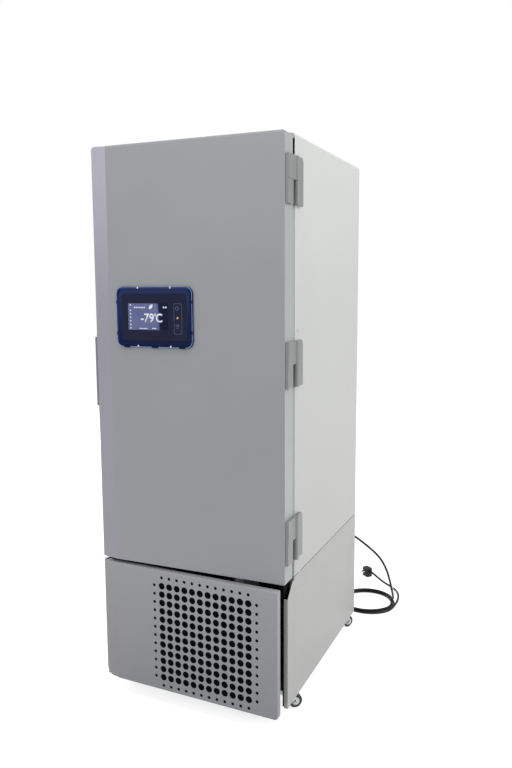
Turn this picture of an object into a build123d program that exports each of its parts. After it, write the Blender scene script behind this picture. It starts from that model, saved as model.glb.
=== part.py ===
"""Upright ultra low temperature freezer on casters, as an assembly of its separate pieces.

The frame has +Z up and the front at -Y. The origin lies on the floor, under the middle of the box
that holds the freezer without its mains cord. All lengths are in millimetres.
"""
from build123d import *
from math import cos, pi, radians, sin, sqrt, tan
import os

os.makedirs("parts", exist_ok=True)

# Driving sizes of the cabinet and its doors
cabinet_width = 719
cabinet_top = 1989
body_depth = 780
door_depth = 70
gasket_depth = 20
seam_level = 520
side_wall = 67
end_wall = 80
rear_wall = 67

# Sheet, clearances and cuts
sheet = 1.5
plate = 3
seat_gap = 0.3
run_gap = 0.05
overrun = 2
shell_radius = 12
reveal = 3

# Base and machine bay
base_bottom = 72
base_thickness = 22
panel_seam = 1
bay_post = 30
side_flange = 20

# Outer door
door_lift = 3
door_top_drop = 6
door_edge_radius = 12
door_brow = 9
door_foot_radius = 3
bevel_width = 64
bevel_depth = 11
gasket_width = 28
gasket_inset = 10
plug_height = 44
plug_clearance = 10
plug_radius = 18

# Opening collar and inner doors
collar_depth = 60
collar_wall = 4
seat_step = 8
inner_door_count = 4
inner_door_depth = 25
inner_door_set_back = 28
inner_door_gap = 6
inner_door_side_gap = 3
inner_door_corner = 4
inner_seal_width = 12
inner_seal_inset = 16
inner_pivot_inset = 6
inner_pin_radius = 3
inner_pin_length = 10
pull_width = 90
pull_height = 22
pull_depth = 12

# Grille panel
grille_depth = 24
grille_foot = 59
grille_head = 509
cover_inset = 12
ajar_angle = 2.8
hinge_edge = 6
grille_pin_radius = 2.5
grille_pin_length = 10
grille_foot_radius = 30
grille_far_radius = 12
hole_count = 12
hole_pitch = 31.2
hole_size = 21
small_hole_size = 8.5
hole_sides = 8
small_hole_sides = 5
first_hole_across = 257
first_hole_drop = 57
filter_depth = 10
filter_margin = 14
cheek_return = 14
cheek_corner = 48

# Door hinges, handle and lock
hinge_shares = (0.0964, 0.5007, 0.9004)
hinge_height = 152
hinge_leaf = 12
hinge_knuckle = 9
hinge_pin_radius = 5
door_leaf_length = 60
low_leaf_length = 48
leaf_step = 2
leaf_corner = 10
cabinet_leaf_length = 45
leaf_inset = 4
lever_share = 0.4674
lever_length = 240
lever_pivot_out = 12
lever_pivot_depth = 30
lever_pin_radius = 4
lever_boss = 8
lever_web = 6
grip_reach = 70
grip_out = 10
grip_radius = 7
hook_reach = 89
hook_out = 5
hook_toe = 8
hook_width = 16
unlatch_angle = 8
lock_radius = 8
lock_boss = 13
lock_length = 14
lock_drop = 34
keyway = 1.6

# Display
display_width = 298
display_height = 208
display_left_gap = 96.5
display_low = 1300
display_proud = 8
display_radius = 26
display_rim = 10
display_glass_depth = 5

# Casters
caster_inset = 45
front_caster_depth = 150
rear_caster_set_back = 35
wheel_radius = 25
wheel_width = 20
wheel_trail = 26
axle_radius = 4
fork_wall = 3
caster_plate_size = 60
stem_radius = 6
race_radius = 20

# Back of the cabinet and mains cord
bumper_reach = 30
bumper_radius = 18
port_radius = 12.7
port_wall = 2.5
cord_diameter = 10
cord_sides = 8
gland_level = 405
gland_across = 295
coil_radius = 125
coil_width = 30
coil_height = 20

# Places worked out from the driving sizes
lean = radians(unlatch_angle)
handle_reach = lever_pivot_out + grip_out * cos(lean) + grip_reach * sin(lean) + grip_radius
hinge_reach = 2 * hinge_knuckle
middle = (handle_reach - hinge_reach) / 2
left = middle - cabinet_width / 2
right = middle + cabinet_width / 2
ajar_reach = (cabinet_width - cover_inset - hinge_edge) * sin(radians(ajar_angle))
flange_depth = door_depth + gasket_depth
back_depth = flange_depth + body_depth
rear_caster_depth = back_depth - rear_caster_set_back
front = (ajar_reach - back_depth - bumper_reach) / 2


def at(depth):
    """The y of a place that lies this deep behind the plane of the door's front."""
    return front + depth


def level(z):
    """A plane that looks up, at this height."""
    return Plane((0, 0, z), x_dir=(1, 0, 0), z_dir=(0, 0, 1))


def front_plane(depth):
    """An upright plane that looks forward, this deep behind the door's front."""
    return Plane((0, at(depth), 0), x_dir=(1, 0, 0), z_dir=(0, -1, 0))


def side_plane(x):
    """An upright plane that looks to the right, at this x."""
    return Plane((x, 0, 0), x_dir=(0, 1, 0), z_dir=(1, 0, 0))


def fill(across, deep, high, mode=Mode.ADD):
    """A block between two places on each axis, with its depths counted from the door's front."""
    with BuildSketch(level(high[0])) as outline:
        with Locations(((across[0] + across[1]) / 2, at((deep[0] + deep[1]) / 2))):
            Rectangle(across[1] - across[0], deep[1] - deep[0])
    extrude(outline.sketch, amount=high[1] - high[0], mode=mode)


def fill_rounded(across, deep, high, radius, mode=Mode.ADD):
    """A block whose four edges along the depth are rounded."""
    with BuildSketch(front_plane(deep[0])) as outline:
        with Locations(((across[0] + across[1]) / 2, (high[0] + high[1]) / 2)):
            RectangleRounded(across[1] - across[0], high[1] - high[0], radius)
    extrude(outline.sketch, amount=deep[0] - deep[1], mode=mode)


def post(x, depth, radius, high, mode=Mode.ADD):
    """An upright round bar."""
    with BuildSketch(level(high[0])) as outline:
        with Locations((x, at(depth))):
            Circle(radius)
    extrude(outline.sketch, amount=high[1] - high[0], mode=mode)


def rod(x, z, radius, deep, mode=Mode.ADD):
    """A round bar that runs from front to back."""
    with BuildSketch(front_plane(deep[0])) as outline:
        with Locations((x, z)):
            Circle(radius)
    extrude(outline.sketch, amount=deep[0] - deep[1], mode=mode)


def save(builder, name):
    """Names a finished piece and writes it out."""
    builder.part.label = name
    export_step(builder.part, f"parts/{name}.step")


# Cabinet shell: one folded wrapper with rounded edges, open at the front and below
shell_foot = seam_level + panel_seam
rear_lip = 25

def wrapper(inset, beyond):
    """The cabinet's outside, set in by some depth, with its rounded rear and top edges."""
    with BuildPart() as block:
        fill(
            (left + inset, right - inset),
            (flange_depth - beyond, back_depth - inset),
            (shell_foot - beyond, cabinet_top - inset),
        )
        upright = block.edges().filter_by(Axis.Z).sort_by(Axis.Y)[-2:]
        along = block.edges().filter_by(Axis.Y).sort_by(Axis.Z)[-2:]
        behind = block.edges().filter_by(Axis.X).sort_by(Axis.Y)[-2:].sort_by(Axis.Z)[-1:]
        fillet(upright + along + behind, radius=shell_radius - inset)
    return block.part


shell_outside = wrapper(0, 0)
shell_inside = wrapper(sheet, overrun)
with BuildPart() as cabinet_shell:
    add(shell_outside)
    add(shell_inside, mode=Mode.SUBTRACT)
    fill(
        (left + rear_lip, right - rear_lip),
        (back_depth - shell_radius, back_depth + overrun),
        (shell_foot - overrun, cabinet_top - rear_lip),
        mode=Mode.SUBTRACT,
    )
save(cabinet_shell, "cabinet_shell")

# Interior sizes
room_left = left + side_wall
room_right = right - side_wall
room_floor = seam_level + end_wall
room_top = cabinet_top - end_wall
room_front = flange_depth + collar_depth
room_back = back_depth - rear_wall
port_across = room_left + 2 * side_wall
port_level = room_floor + end_wall

# Inner liner: a stainless box with a flange that the inner doors close on
with BuildPart() as inner_liner:
    fill(
        (room_left - sheet, room_right + sheet),
        (room_front, room_back + sheet),
        (room_floor - sheet, room_top + sheet),
    )
    fill(
        (room_left - seat_step - collar_wall, room_right + seat_step + collar_wall),
        (room_front, room_front + sheet),
        (room_floor - seat_step - collar_wall, room_top + seat_step + collar_wall),
    )
    fill(
        (room_left, room_right),
        (room_front - overrun, room_back),
        (room_floor, room_top),
        mode=Mode.SUBTRACT,
    )
    rod(port_across, port_level, port_radius + port_wall, (room_back - overrun, back_depth), Mode.SUBTRACT)
save(inner_liner, "inner_liner")

# Opening collar: moulded frame with a face for the gasket and a throat for the inner doors
throat_left = room_left - seat_step
throat_right = room_right + seat_step
throat_floor = room_floor - seat_step
throat_top = room_top + seat_step
with BuildPart() as opening_collar:
    fill(
        (left + sheet, right - sheet),
        (flange_depth, flange_depth + collar_wall),
        (seam_level + plate, cabinet_top - sheet),
    )
    fillet(opening_collar.edges().filter_by(Axis.Y).sort_by(Axis.Z)[-2:], radius=shell_radius - sheet)
    fill(
        (throat_left - collar_wall, throat_right + collar_wall),
        (flange_depth, room_front),
        (throat_floor - collar_wall, throat_top + collar_wall),
    )
    fill(
        (throat_left, throat_right),
        (flange_depth - overrun, room_front + overrun),
        (throat_floor, throat_top),
        mode=Mode.SUBTRACT,
    )
save(opening_collar, "opening_collar")

# Foam between liner and shell, cut round the collar's throat and the probe port
with BuildPart() as cabinet_foam:
    fill(
        (left + sheet + seat_gap, right - sheet - seat_gap),
        (flange_depth + collar_wall, back_depth - 2 * sheet),
        (seam_level + plate, cabinet_top - sheet - seat_gap),
    )
    upright = cabinet_foam.edges().filter_by(Axis.Z).sort_by(Axis.Y)[-2:]
    along = cabinet_foam.edges().filter_by(Axis.Y).sort_by(Axis.Z)[-2:]
    behind = cabinet_foam.edges().filter_by(Axis.X).sort_by(Axis.Y)[-2:].sort_by(Axis.Z)[-1:]
    chamfer(upright + along + behind, length=shell_radius)
    fill(
        (throat_left - collar_wall, throat_right + collar_wall),
        (flange_depth, room_front + sheet),
        (throat_floor - collar_wall, throat_top + collar_wall),
        mode=Mode.SUBTRACT,
    )
    fill(
        (room_left - sheet, room_right + sheet),
        (room_front, room_back + sheet),
        (room_floor - sheet, room_top + sheet),
        mode=Mode.SUBTRACT,
    )
    rod(port_across, port_level, port_radius + port_wall, (room_back, back_depth), Mode.SUBTRACT)
save(cabinet_foam, "cabinet_foam")

# Back panel, set inside the lip of the shell
with BuildPart() as back_panel:
    fill(
        (left + shell_radius, right - shell_radius),
        (back_depth - 2 * sheet, back_depth - sheet),
        (seam_level + plate, cabinet_top - shell_radius),
    )
    rod(port_across, port_level, port_radius + port_wall, (room_back, back_depth), Mode.SUBTRACT)
save(back_panel, "back_panel")

# Probe port: a tube through the rear wall, with a collar outside
port_flange = 10
with BuildPart() as probe_port:
    rod(port_across, port_level, port_radius + port_wall, (room_back, back_depth))
    rod(port_across, port_level, port_radius + port_flange, (back_depth - sheet, back_depth + plate))
    rod(port_across, port_level, port_radius, (room_back - overrun, back_depth + bumper_reach), Mode.SUBTRACT)
save(probe_port, "probe_port")

# Shelf pilasters: slotted strips on the side walls
pilaster_width = 20
pilaster_depth = 5
pilaster_margin = 70
slot_count = 12
slot_height = 14
slot_width = 5
pilaster_foot = room_floor + plate
pilaster_head = room_top - plate
pilaster_depths = (room_front + pilaster_margin, room_back - pilaster_margin)
slot_pitch = (pilaster_head - pilaster_foot) / slot_count
with BuildPart() as shelf_pilasters:
    for depth in pilaster_depths:
        deep = (depth - pilaster_width / 2, depth + pilaster_width / 2)
        fill((room_left, room_left + pilaster_depth), deep, (pilaster_foot, pilaster_head))
        fill((room_right - pilaster_depth, room_right), deep, (pilaster_foot, pilaster_head))
        with BuildSketch(side_plane(room_left - overrun)) as slots:
            with Locations((at(depth), (pilaster_foot + pilaster_head) / 2)):
                with GridLocations(slot_pitch, slot_pitch, 1, slot_count):
                    Rectangle(slot_width, slot_height)
        extrude(slots.sketch, amount=room_right - room_left + 2 * overrun, mode=Mode.SUBTRACT)
save(shelf_pilasters, "shelf_pilasters")

# Shelves, each with folded lips; the front lip is also the stop between two inner doors
shelf_lip = 22
shelf_gap = 2
shelf_set_back = 2
room_height = room_top - room_floor
bay_pitch = room_height / inner_door_count
shelf_levels = [room_floor + bay_pitch * step for step in range(1, inner_door_count)]
shelf_across = (room_left + pilaster_depth + shelf_gap, room_right - pilaster_depth - shelf_gap)
shelf_deep = (room_front + shelf_set_back, room_back - shelf_lip)
with BuildPart() as shelves:
    for shelf_level in shelf_levels:
        high = (shelf_level - shelf_lip / 2, shelf_level + shelf_lip / 2)
        fill(shelf_across, shelf_deep, high)
        fill(
            (shelf_across[0] - overrun, shelf_across[1] + overrun),
            (shelf_deep[0] + sheet, shelf_deep[1] - sheet),
            (high[0] - overrun, high[1] - sheet),
            mode=Mode.SUBTRACT,
        )
save(shelves, "shelves")

# Shelf clips hooked on the pilasters, one under each corner of a shelf
clip_reach = 14
clip_height = 16
clip_width = 12
with BuildPart() as shelf_clips:
    for shelf_level in shelf_levels:
        top = shelf_level + shelf_lip / 2 - sheet
        for depth in pilaster_depths:
            deep = (depth - clip_width / 2, depth + clip_width / 2)
            inner_left = room_left + pilaster_depth
            inner_right = room_right - pilaster_depth
            fill((inner_left, inner_left + clip_reach), deep, (top - plate, top))
            fill((inner_left, inner_left + sheet), deep, (top - clip_height, top))
            fill((inner_right - clip_reach, inner_right), deep, (top - plate, top))
            fill((inner_right - sheet, inner_right), deep, (top - clip_height, top))
save(shelf_clips, "shelf_clips")

# Inner doors, each with a finger pull at its free edge and two hinge bores
leaf_front = flange_depth + inner_door_set_back
leaf_rear = leaf_front + inner_door_depth
leaf_left = throat_left + inner_door_side_gap
leaf_right = throat_right - inner_door_side_gap
inner_pivot_x = leaf_right - inner_pivot_inset
inner_pivot_depth = leaf_front + inner_pivot_inset
door_pitch = (throat_top - throat_floor - inner_door_gap) / inner_door_count
leaf_height = door_pitch - inner_door_gap
leaf_floors = [throat_floor + inner_door_gap + door_pitch * step for step in range(inner_door_count)]
seal_front = leaf_rear
seal_rear = room_front - seat_gap


def inner_door(floor):
    """One foam filled inner door, with its magnetic seal on the rear face."""
    high = (floor, floor + leaf_height)
    fill((leaf_left, leaf_right), (leaf_front, leaf_rear), high)
    chamfer(edges().filter_by(Axis.Y), length=inner_door_corner)
    seal_outer = (leaf_left + reveal, leaf_right - inner_seal_inset)
    seal_inner = (seal_outer[0] + inner_seal_width, seal_outer[1] - inner_seal_width)
    seal_high = (high[0] + reveal, high[1] - reveal)
    fill(seal_outer, (seal_front, seal_rear), seal_high)
    fill(
        seal_inner,
        (seal_front, seal_rear + overrun),
        (seal_high[0] + inner_seal_width, seal_high[1] - inner_seal_width),
        mode=Mode.SUBTRACT,
    )
    pull_middle = floor + leaf_height / 2
    fill_rounded(
        (leaf_left + pull_height, leaf_left + pull_height + pull_width),
        (leaf_front - overrun, leaf_front + pull_depth),
        (pull_middle - pull_height, pull_middle + pull_height),
        pull_height / 2,
        mode=Mode.SUBTRACT,
    )
    bore = inner_pin_radius + run_gap
    for end in high:
        bore_high = (end - inner_pin_length, end + inner_pin_length)
        post(inner_pivot_x, inner_pivot_depth, bore, bore_high, Mode.SUBTRACT)


with BuildPart() as inner_door_1:
    inner_door(leaf_floors[0])
save(inner_door_1, "inner_door_1")

with BuildPart() as inner_door_2:
    inner_door(leaf_floors[1])
save(inner_door_2, "inner_door_2")

with BuildPart() as inner_door_3:
    inner_door(leaf_floors[2])
save(inner_door_3, "inner_door_3")

with BuildPart() as inner_door_4:
    inner_door(leaf_floors[3])
save(inner_door_4, "inner_door_4")

# Ears on the throat's right wall, with the pins that the inner doors turn on
lowest_ear = throat_floor + inner_door_gap / 2
ear_levels = [lowest_ear + door_pitch * step for step in range(inner_door_count + 1)]
ear_thickness = inner_door_gap - 2 * sheet
ear_reach = 20
with BuildPart() as inner_door_hinges:
    for step, ear_level in enumerate(ear_levels):
        high = (ear_level - ear_thickness / 2, ear_level + ear_thickness / 2)
        fill((throat_right - ear_reach, throat_right), (leaf_front, leaf_front + ear_reach), high)
        pin_foot = ear_level if step == 0 else ear_level - inner_pin_length
        pin_head = ear_level if step == inner_door_count else ear_level + inner_pin_length
        post(inner_pivot_x, inner_pivot_depth, inner_pin_radius, (pin_foot, pin_head))
save(inner_door_hinges, "inner_door_hinges")


def bevelled_block(across, deep, high, inset, radii):
    """A door's body, set in from its outside, with a bevel down its left edge.

    It is what the plan, the front view and the side view have in common. The radii are those of
    the top, of the lower left corner, of the lower right corner and of the top's front edge.
    """
    top_radius, low_left, low_right, brow = radii
    low, high_end = high[0] + inset, high[1] - inset
    one, two = across[0] + inset, across[1] - inset
    near, far = at(deep[0]), at(deep[1])
    with BuildPart() as block:
        with BuildSketch(level(low)) as plan:
            Polygon(
                (across[0], far),
                (across[0], near + bevel_depth),
                (across[0] + bevel_width, near),
                (across[1], near),
                (across[1], far),
                align=None,
            )
            if inset:
                offset(amount=-inset, kind=Kind.INTERSECTION)
        extrude(plan.sketch, amount=high_end - low)
        with BuildSketch(front_plane(deep[0] - overrun)) as face:
            with BuildLine():
                FilletPolyline(
                    (one, low),
                    (two, low),
                    (two, high_end),
                    (one, high_end),
                    radius=[low_left - inset, low_right - inset, top_radius - inset, top_radius - inset],
                    close=True,
                )
            make_face()
        extrude(face.sketch, amount=deep[0] - deep[1] - 2 * overrun, mode=Mode.INTERSECT)
        with BuildSketch(side_plane(across[0] - overrun)) as side:
            with BuildLine():
                start = (far + overrun, low)
                Polyline(start, (near + inset, low), (near + inset, high_end - brow))
                RadiusArc((near + inset, high_end - brow), (near + inset + brow, high_end), brow)
                Polyline((near + inset + brow, high_end), (far + overrun, high_end), start)
            make_face()
        extrude(side.sketch, amount=across[1] - across[0] + 2 * overrun, mode=Mode.INTERSECT)
    return block.part


# Outer door skin: a folded steel tray with a rolled rear lip
door_foot = seam_level + door_lift
door_head = cabinet_top - door_top_drop
door_radii = (door_edge_radius, door_foot_radius, door_foot_radius, door_brow)
rear_return = 14
door_outside = bevelled_block(
    (left, right), (0, door_depth), (door_foot, door_head), 0, door_radii
)
door_inside = bevelled_block(
    (left, right), (0, door_depth), (door_foot, door_head), sheet, door_radii
)
window_across = (left + rear_return, right - rear_return)
window_high = (door_foot + rear_return, door_head - rear_return)
with BuildPart() as door_skin:
    add(door_outside)
    add(door_inside, mode=Mode.SUBTRACT)
    fill(window_across, (door_depth / 2, door_depth + overrun), window_high, mode=Mode.SUBTRACT)
save(door_skin, "door_skin")

# Door liner: a vacuum formed plastic back with a raised plug
liner_wall = 2
plug_across = (throat_left + plug_clearance, throat_right - plug_clearance)
plug_high = (throat_floor + plug_clearance, throat_top - plug_clearance)
plug_rear = door_depth + plug_height
cap_foot = door_head - gasket_inset - reveal + seat_gap
with BuildPart() as door_liner:
    fill(
        (left + reveal, right - reveal),
        (door_depth, door_depth + liner_wall),
        (door_foot + reveal, door_head - door_edge_radius),
    )
    fill_rounded(
        (left + run_gap, right - run_gap),
        (door_depth, flange_depth - liner_wall),
        (cap_foot, door_head - run_gap),
        liner_wall,
    )
    fill_rounded(plug_across, (door_depth, plug_rear), plug_high, plug_radius)
    fill_rounded(
        (plug_across[0] + liner_wall, plug_across[1] - liner_wall),
        (door_depth - overrun, plug_rear - liner_wall),
        (plug_high[0] + liner_wall, plug_high[1] - liner_wall),
        plug_radius - liner_wall,
        mode=Mode.SUBTRACT,
    )
save(door_liner, "door_liner")

# Door core: the foam inside the skin, which also fills the plug
with BuildPart() as door_core:
    add(door_inside)
    fill(
        (left, right),
        (door_depth - sheet, door_depth + overrun),
        (door_foot, door_head),
        mode=Mode.SUBTRACT,
    )
    fill_rounded(
        (plug_across[0] + liner_wall, plug_across[1] - liner_wall),
        (door_depth - 2 * sheet, plug_rear - liner_wall),
        (plug_high[0] + liner_wall, plug_high[1] - liner_wall),
        plug_radius - liner_wall,
    )
save(door_core, "door_core")

# Door gasket: a soft frame between the door's liner and the collar
gasket_front = door_depth + liner_wall + seat_gap
gasket_rear = flange_depth - seat_gap
gasket_radius = 10
with BuildPart() as door_gasket:
    fill_rounded(
        (left + gasket_inset, right - gasket_inset),
        (gasket_front, gasket_rear),
        (door_foot + gasket_inset, door_head - gasket_inset - reveal),
        gasket_radius,
    )
    fill(
        (left + gasket_inset + gasket_width, right - gasket_inset - gasket_width),
        (gasket_front - overrun, gasket_rear + overrun),
        (door_foot + gasket_inset + gasket_width, door_head - gasket_inset - reveal - gasket_width),
        mode=Mode.SUBTRACT,
    )
save(door_gasket, "door_gasket")

# Door hinges: the door's leaf carries the upper knuckle, and lifts off the pin of the lower one
hinge_x = right + hinge_knuckle
hinge_depth = door_depth + gasket_depth / 2
door_height = door_head - door_foot
hinge_levels = [door_foot + door_height * share for share in hinge_shares]
pin_end = 12
with BuildPart() as door_hinge_leaves:
    for hinge_level in hinge_levels:
        foot, head = hinge_level - hinge_height / 2, hinge_level + hinge_height / 2
        split_level = hinge_level + seat_gap / 2
        door_leaf = (leaf_inset, leaf_inset + door_leaf_length)
        low_leaf = (leaf_inset, leaf_inset + low_leaf_length)
        fill((right, right + hinge_leaf), door_leaf, (split_level, head))
        fill((right, right + hinge_leaf - leaf_step), low_leaf, (foot, split_level + overrun))
        fill((right, right + hinge_leaf), (door_leaf[1] - leaf_inset, hinge_depth), (split_level, head))
        post(hinge_x, hinge_depth, hinge_knuckle, (split_level, head))
        post(hinge_x, hinge_depth, hinge_pin_radius + run_gap, (split_level - overrun, head), Mode.SUBTRACT)
        post(hinge_x, hinge_depth, hinge_knuckle, (head - pin_end + overrun, head))
save(door_hinge_leaves, "door_hinge_leaves")

with BuildPart() as cabinet_hinge_leaves:
    for hinge_level in hinge_levels:
        foot, head = hinge_level - hinge_height / 2, hinge_level + hinge_height / 2
        split_level = hinge_level - seat_gap / 2
        cabinet_leaf = (flange_depth + leaf_inset, flange_depth + leaf_inset + cabinet_leaf_length)
        with BuildSketch(side_plane(right)) as leaf:
            Polygon(
                (at(cabinet_leaf[0]), foot),
                (at(cabinet_leaf[1]), foot),
                (at(cabinet_leaf[1]), head - leaf_corner),
                (at(cabinet_leaf[1] - leaf_corner), head),
                (at(cabinet_leaf[0]), head),
                align=None,
            )
        extrude(leaf.sketch, amount=hinge_leaf)
        fill((right, right + hinge_leaf), (hinge_depth, cabinet_leaf[0] + leaf_inset), (foot, split_level))
        post(hinge_x, hinge_depth, hinge_knuckle, (foot, split_level))
        post(hinge_x, hinge_depth, hinge_pin_radius, (foot, head - pin_end))
save(cabinet_hinge_leaves, "cabinet_hinge_leaves")

# Handle on the door's left side: a base with two ears and a pin, and a lever with a hook
lever_middle = door_foot + door_height * lever_share
lever_foot = lever_middle - lever_length / 2
lever_head = lever_middle + lever_length / 2
lever_x = left - lever_pivot_out
base_edge = 16
lock_level = lever_foot - plate - lock_drop
ear_gap = 0.5
with BuildPart() as handle_base:
    base_deep = (lever_pivot_depth - base_edge, door_depth - leaf_inset)
    base_high = (lock_level - lock_boss - leaf_inset, lever_head + base_edge)
    fill((left - plate, left), base_deep, base_high)
    ear_deep = (lever_pivot_depth - lever_boss, lever_pivot_depth + lever_boss)
    for low in (lever_foot - ear_gap - plate, lever_head + ear_gap):
        fill((lever_x, left), ear_deep, (low, low + plate))
        post(lever_x, lever_pivot_depth, lever_boss, (low, low + plate))
    post(lever_x, lever_pivot_depth, lever_pin_radius, (lever_foot - plate, lever_head + plate))
    with BuildSketch(side_plane(left - lock_length)) as barrel_boss:
        with Locations((at(lever_pivot_depth + base_edge), lock_level)):
            Circle(lock_boss)
    extrude(barrel_boss.sketch, amount=lock_length)
    with BuildSketch(side_plane(left - lock_length - overrun)) as barrel_bore:
        with Locations((at(lever_pivot_depth + base_edge), lock_level)):
            Circle(lock_radius + run_gap)
    extrude(barrel_bore.sketch, amount=lock_length + overrun, mode=Mode.SUBTRACT)
save(handle_base, "handle_base")

lock_proud = 3
keyway_height = 10
with BuildPart() as lock_cylinder:
    with BuildSketch(side_plane(left - lock_length - lock_proud)) as barrel:
        with Locations((at(lever_pivot_depth + base_edge), lock_level)):
            Circle(lock_radius)
    extrude(barrel.sketch, amount=lock_length + lock_proud - seat_gap)
    with BuildSketch(side_plane(left - lock_length - lock_proud)) as slot:
        with Locations((at(lever_pivot_depth + base_edge), lock_level)):
            Rectangle(keyway, keyway_height)
    extrude(slot.sketch, amount=lock_length / 2, mode=Mode.SUBTRACT)
save(lock_cylinder, "lock_cylinder")


def lever_plane(z):
    """The lever's own plan: x runs back from its pivot, and y runs out from the door's side."""
    return Plane((lever_x, at(lever_pivot_depth), z), x_dir=(-sin(lean), cos(lean), 0), z_dir=(0, 0, 1))


with BuildPart() as handle_lever:
    with BuildSketch(lever_plane(lever_foot)) as grip:
        Circle(lever_boss)
        with Locations((grip_reach, grip_out)):
            Circle(grip_radius)
        with BuildLine():
            Line((0, 0), (grip_reach, grip_out))
        trace(line_width=lever_web)
    extrude(grip.sketch, amount=lever_length)
    with BuildSketch(lever_plane(lever_middle - hook_width / 2)) as hook:
        with BuildLine():
            Polyline((0, hook_out), (hook_reach, hook_out), (hook_reach, -hook_toe))
        trace(line_width=lever_web)
    extrude(hook.sketch, amount=hook_width)
    bore_high = (lever_foot - overrun, lever_head + overrun)
    post(lever_x, lever_pivot_depth, lever_pin_radius + run_gap, bore_high, Mode.SUBTRACT)
save(handle_lever, "handle_lever")

# Latch strike on the cabinet's left side, where the hook's toe closes behind its pin
toe_front = lever_pivot_depth + hook_reach - lever_web / 2
strike_pin = 4
strike_slack = 2
strike_depth = toe_front - strike_slack - strike_pin
strike_x = left - lever_pivot_out + strike_pin
strike_half = hook_width / 2 + strike_pin
strike_rear = strike_depth + 2 * strike_pin
strike_high = (lever_middle - strike_half - plate, lever_middle + strike_half + plate)
with BuildPart() as latch_strike:
    fill((left - sheet, left), (flange_depth + leaf_inset, strike_rear + leaf_inset), strike_high)
    wing_across = (strike_x - strike_pin - sheet, left)
    for low in (strike_high[0], strike_high[1] - plate):
        fill(wing_across, (strike_depth - 2 * strike_pin, strike_rear), (low, low + plate))
    post(strike_x, strike_depth, strike_pin, strike_high)
save(latch_strike, "latch_strike")

# Display: a moulded rim with a flat window, standing proud of the door
display_left = left + display_left_gap
display_across = (display_left, display_left + display_width)
display_high = (display_low, display_low + display_height)
with BuildPart() as display_bezel:
    fill_rounded(display_across, (-display_proud, 0), display_high, display_radius)
    rim_edges = display_bezel.faces().sort_by(Axis.Y)[0].edges()
    chamfer(rim_edges, length=display_proud / 2)
    fill_rounded(
        (display_across[0] + display_rim, display_across[1] - display_rim),
        (-display_proud - overrun, -display_proud + display_glass_depth),
        (display_high[0] + display_rim, display_high[1] - display_rim),
        display_radius - display_rim / 2,
        mode=Mode.SUBTRACT,
    )
save(display_bezel, "display_bezel")

glass_set_back = 1
with BuildPart() as display_glass:
    fill_rounded(
        (display_across[0] + display_rim + seat_gap, display_across[1] - display_rim - seat_gap),
        (-display_proud + glass_set_back, -display_proud + display_glass_depth),
        (display_high[0] + display_rim + seat_gap, display_high[1] - display_rim - seat_gap),
        display_radius - display_rim / 2 - seat_gap,
    )
save(display_glass, "display_glass")

# Base frame: a closed box section pan that carries the machine bay
base_top = base_bottom + base_thickness
inner_left = left + sheet
inner_right = right - sheet
base_front = flange_depth + sheet
base_rear = back_depth - shell_radius
base_chamfer = 8
with BuildPart() as base_frame:
    fill((inner_left, inner_right), (base_front, base_rear), (base_bottom, base_top))
    chamfer(base_frame.faces().sort_by(Axis.Z)[0].edges(), length=base_chamfer)
save(base_frame, "base_frame")

# Bay frame: four upright angles and the deck that the cabinet stands on
with BuildPart() as bay_frame:
    fill((inner_left, inner_right), (base_front, base_rear), (seam_level, seam_level + plate))
    for depths in ((base_front, base_front + bay_post), (base_rear - bay_post, base_rear)):
        for across in ((inner_left, inner_left + bay_post), (inner_right - bay_post, inner_right)):
            fill(across, depths, (base_top, seam_level))
    fill(
        (inner_left + plate, inner_right - plate),
        (base_front + plate, base_rear - plate),
        (base_top - overrun, seam_level),
        mode=Mode.SUBTRACT,
    )
save(bay_frame, "bay_frame")


def side_cover(outside, inward):
    """A lower side cover: a flat sheet with a front return and a rounded rear return."""
    inner = outside + inward * side_flange
    face = outside + inward * sheet
    far = at(back_depth)
    with BuildSketch(level(base_bottom)) as plan:
        with Locations(((outside + inner) / 2, at(flange_depth + body_depth / 2))):
            Rectangle(side_flange, body_depth)
        with Locations(((face + inner + inward * overrun) / 2, at(flange_depth + body_depth / 2))):
            Rectangle(side_flange - sheet + overrun, body_depth - 2 * sheet, mode=Mode.SUBTRACT)
        fillet(plan.vertices().sort_by_distance((outside, far))[0], radius=shell_radius)
        fillet(plan.vertices().sort_by_distance((face, far - sheet))[0], radius=shell_radius - sheet)
    extrude(plan.sketch, amount=seam_level - panel_seam - base_bottom)


with BuildPart() as right_side_panel:
    side_cover(right, -1)
save(right_side_panel, "right_side_panel")

with BuildPart() as left_side_panel:
    side_cover(left, 1)
save(left_side_panel, "left_side_panel")

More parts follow.
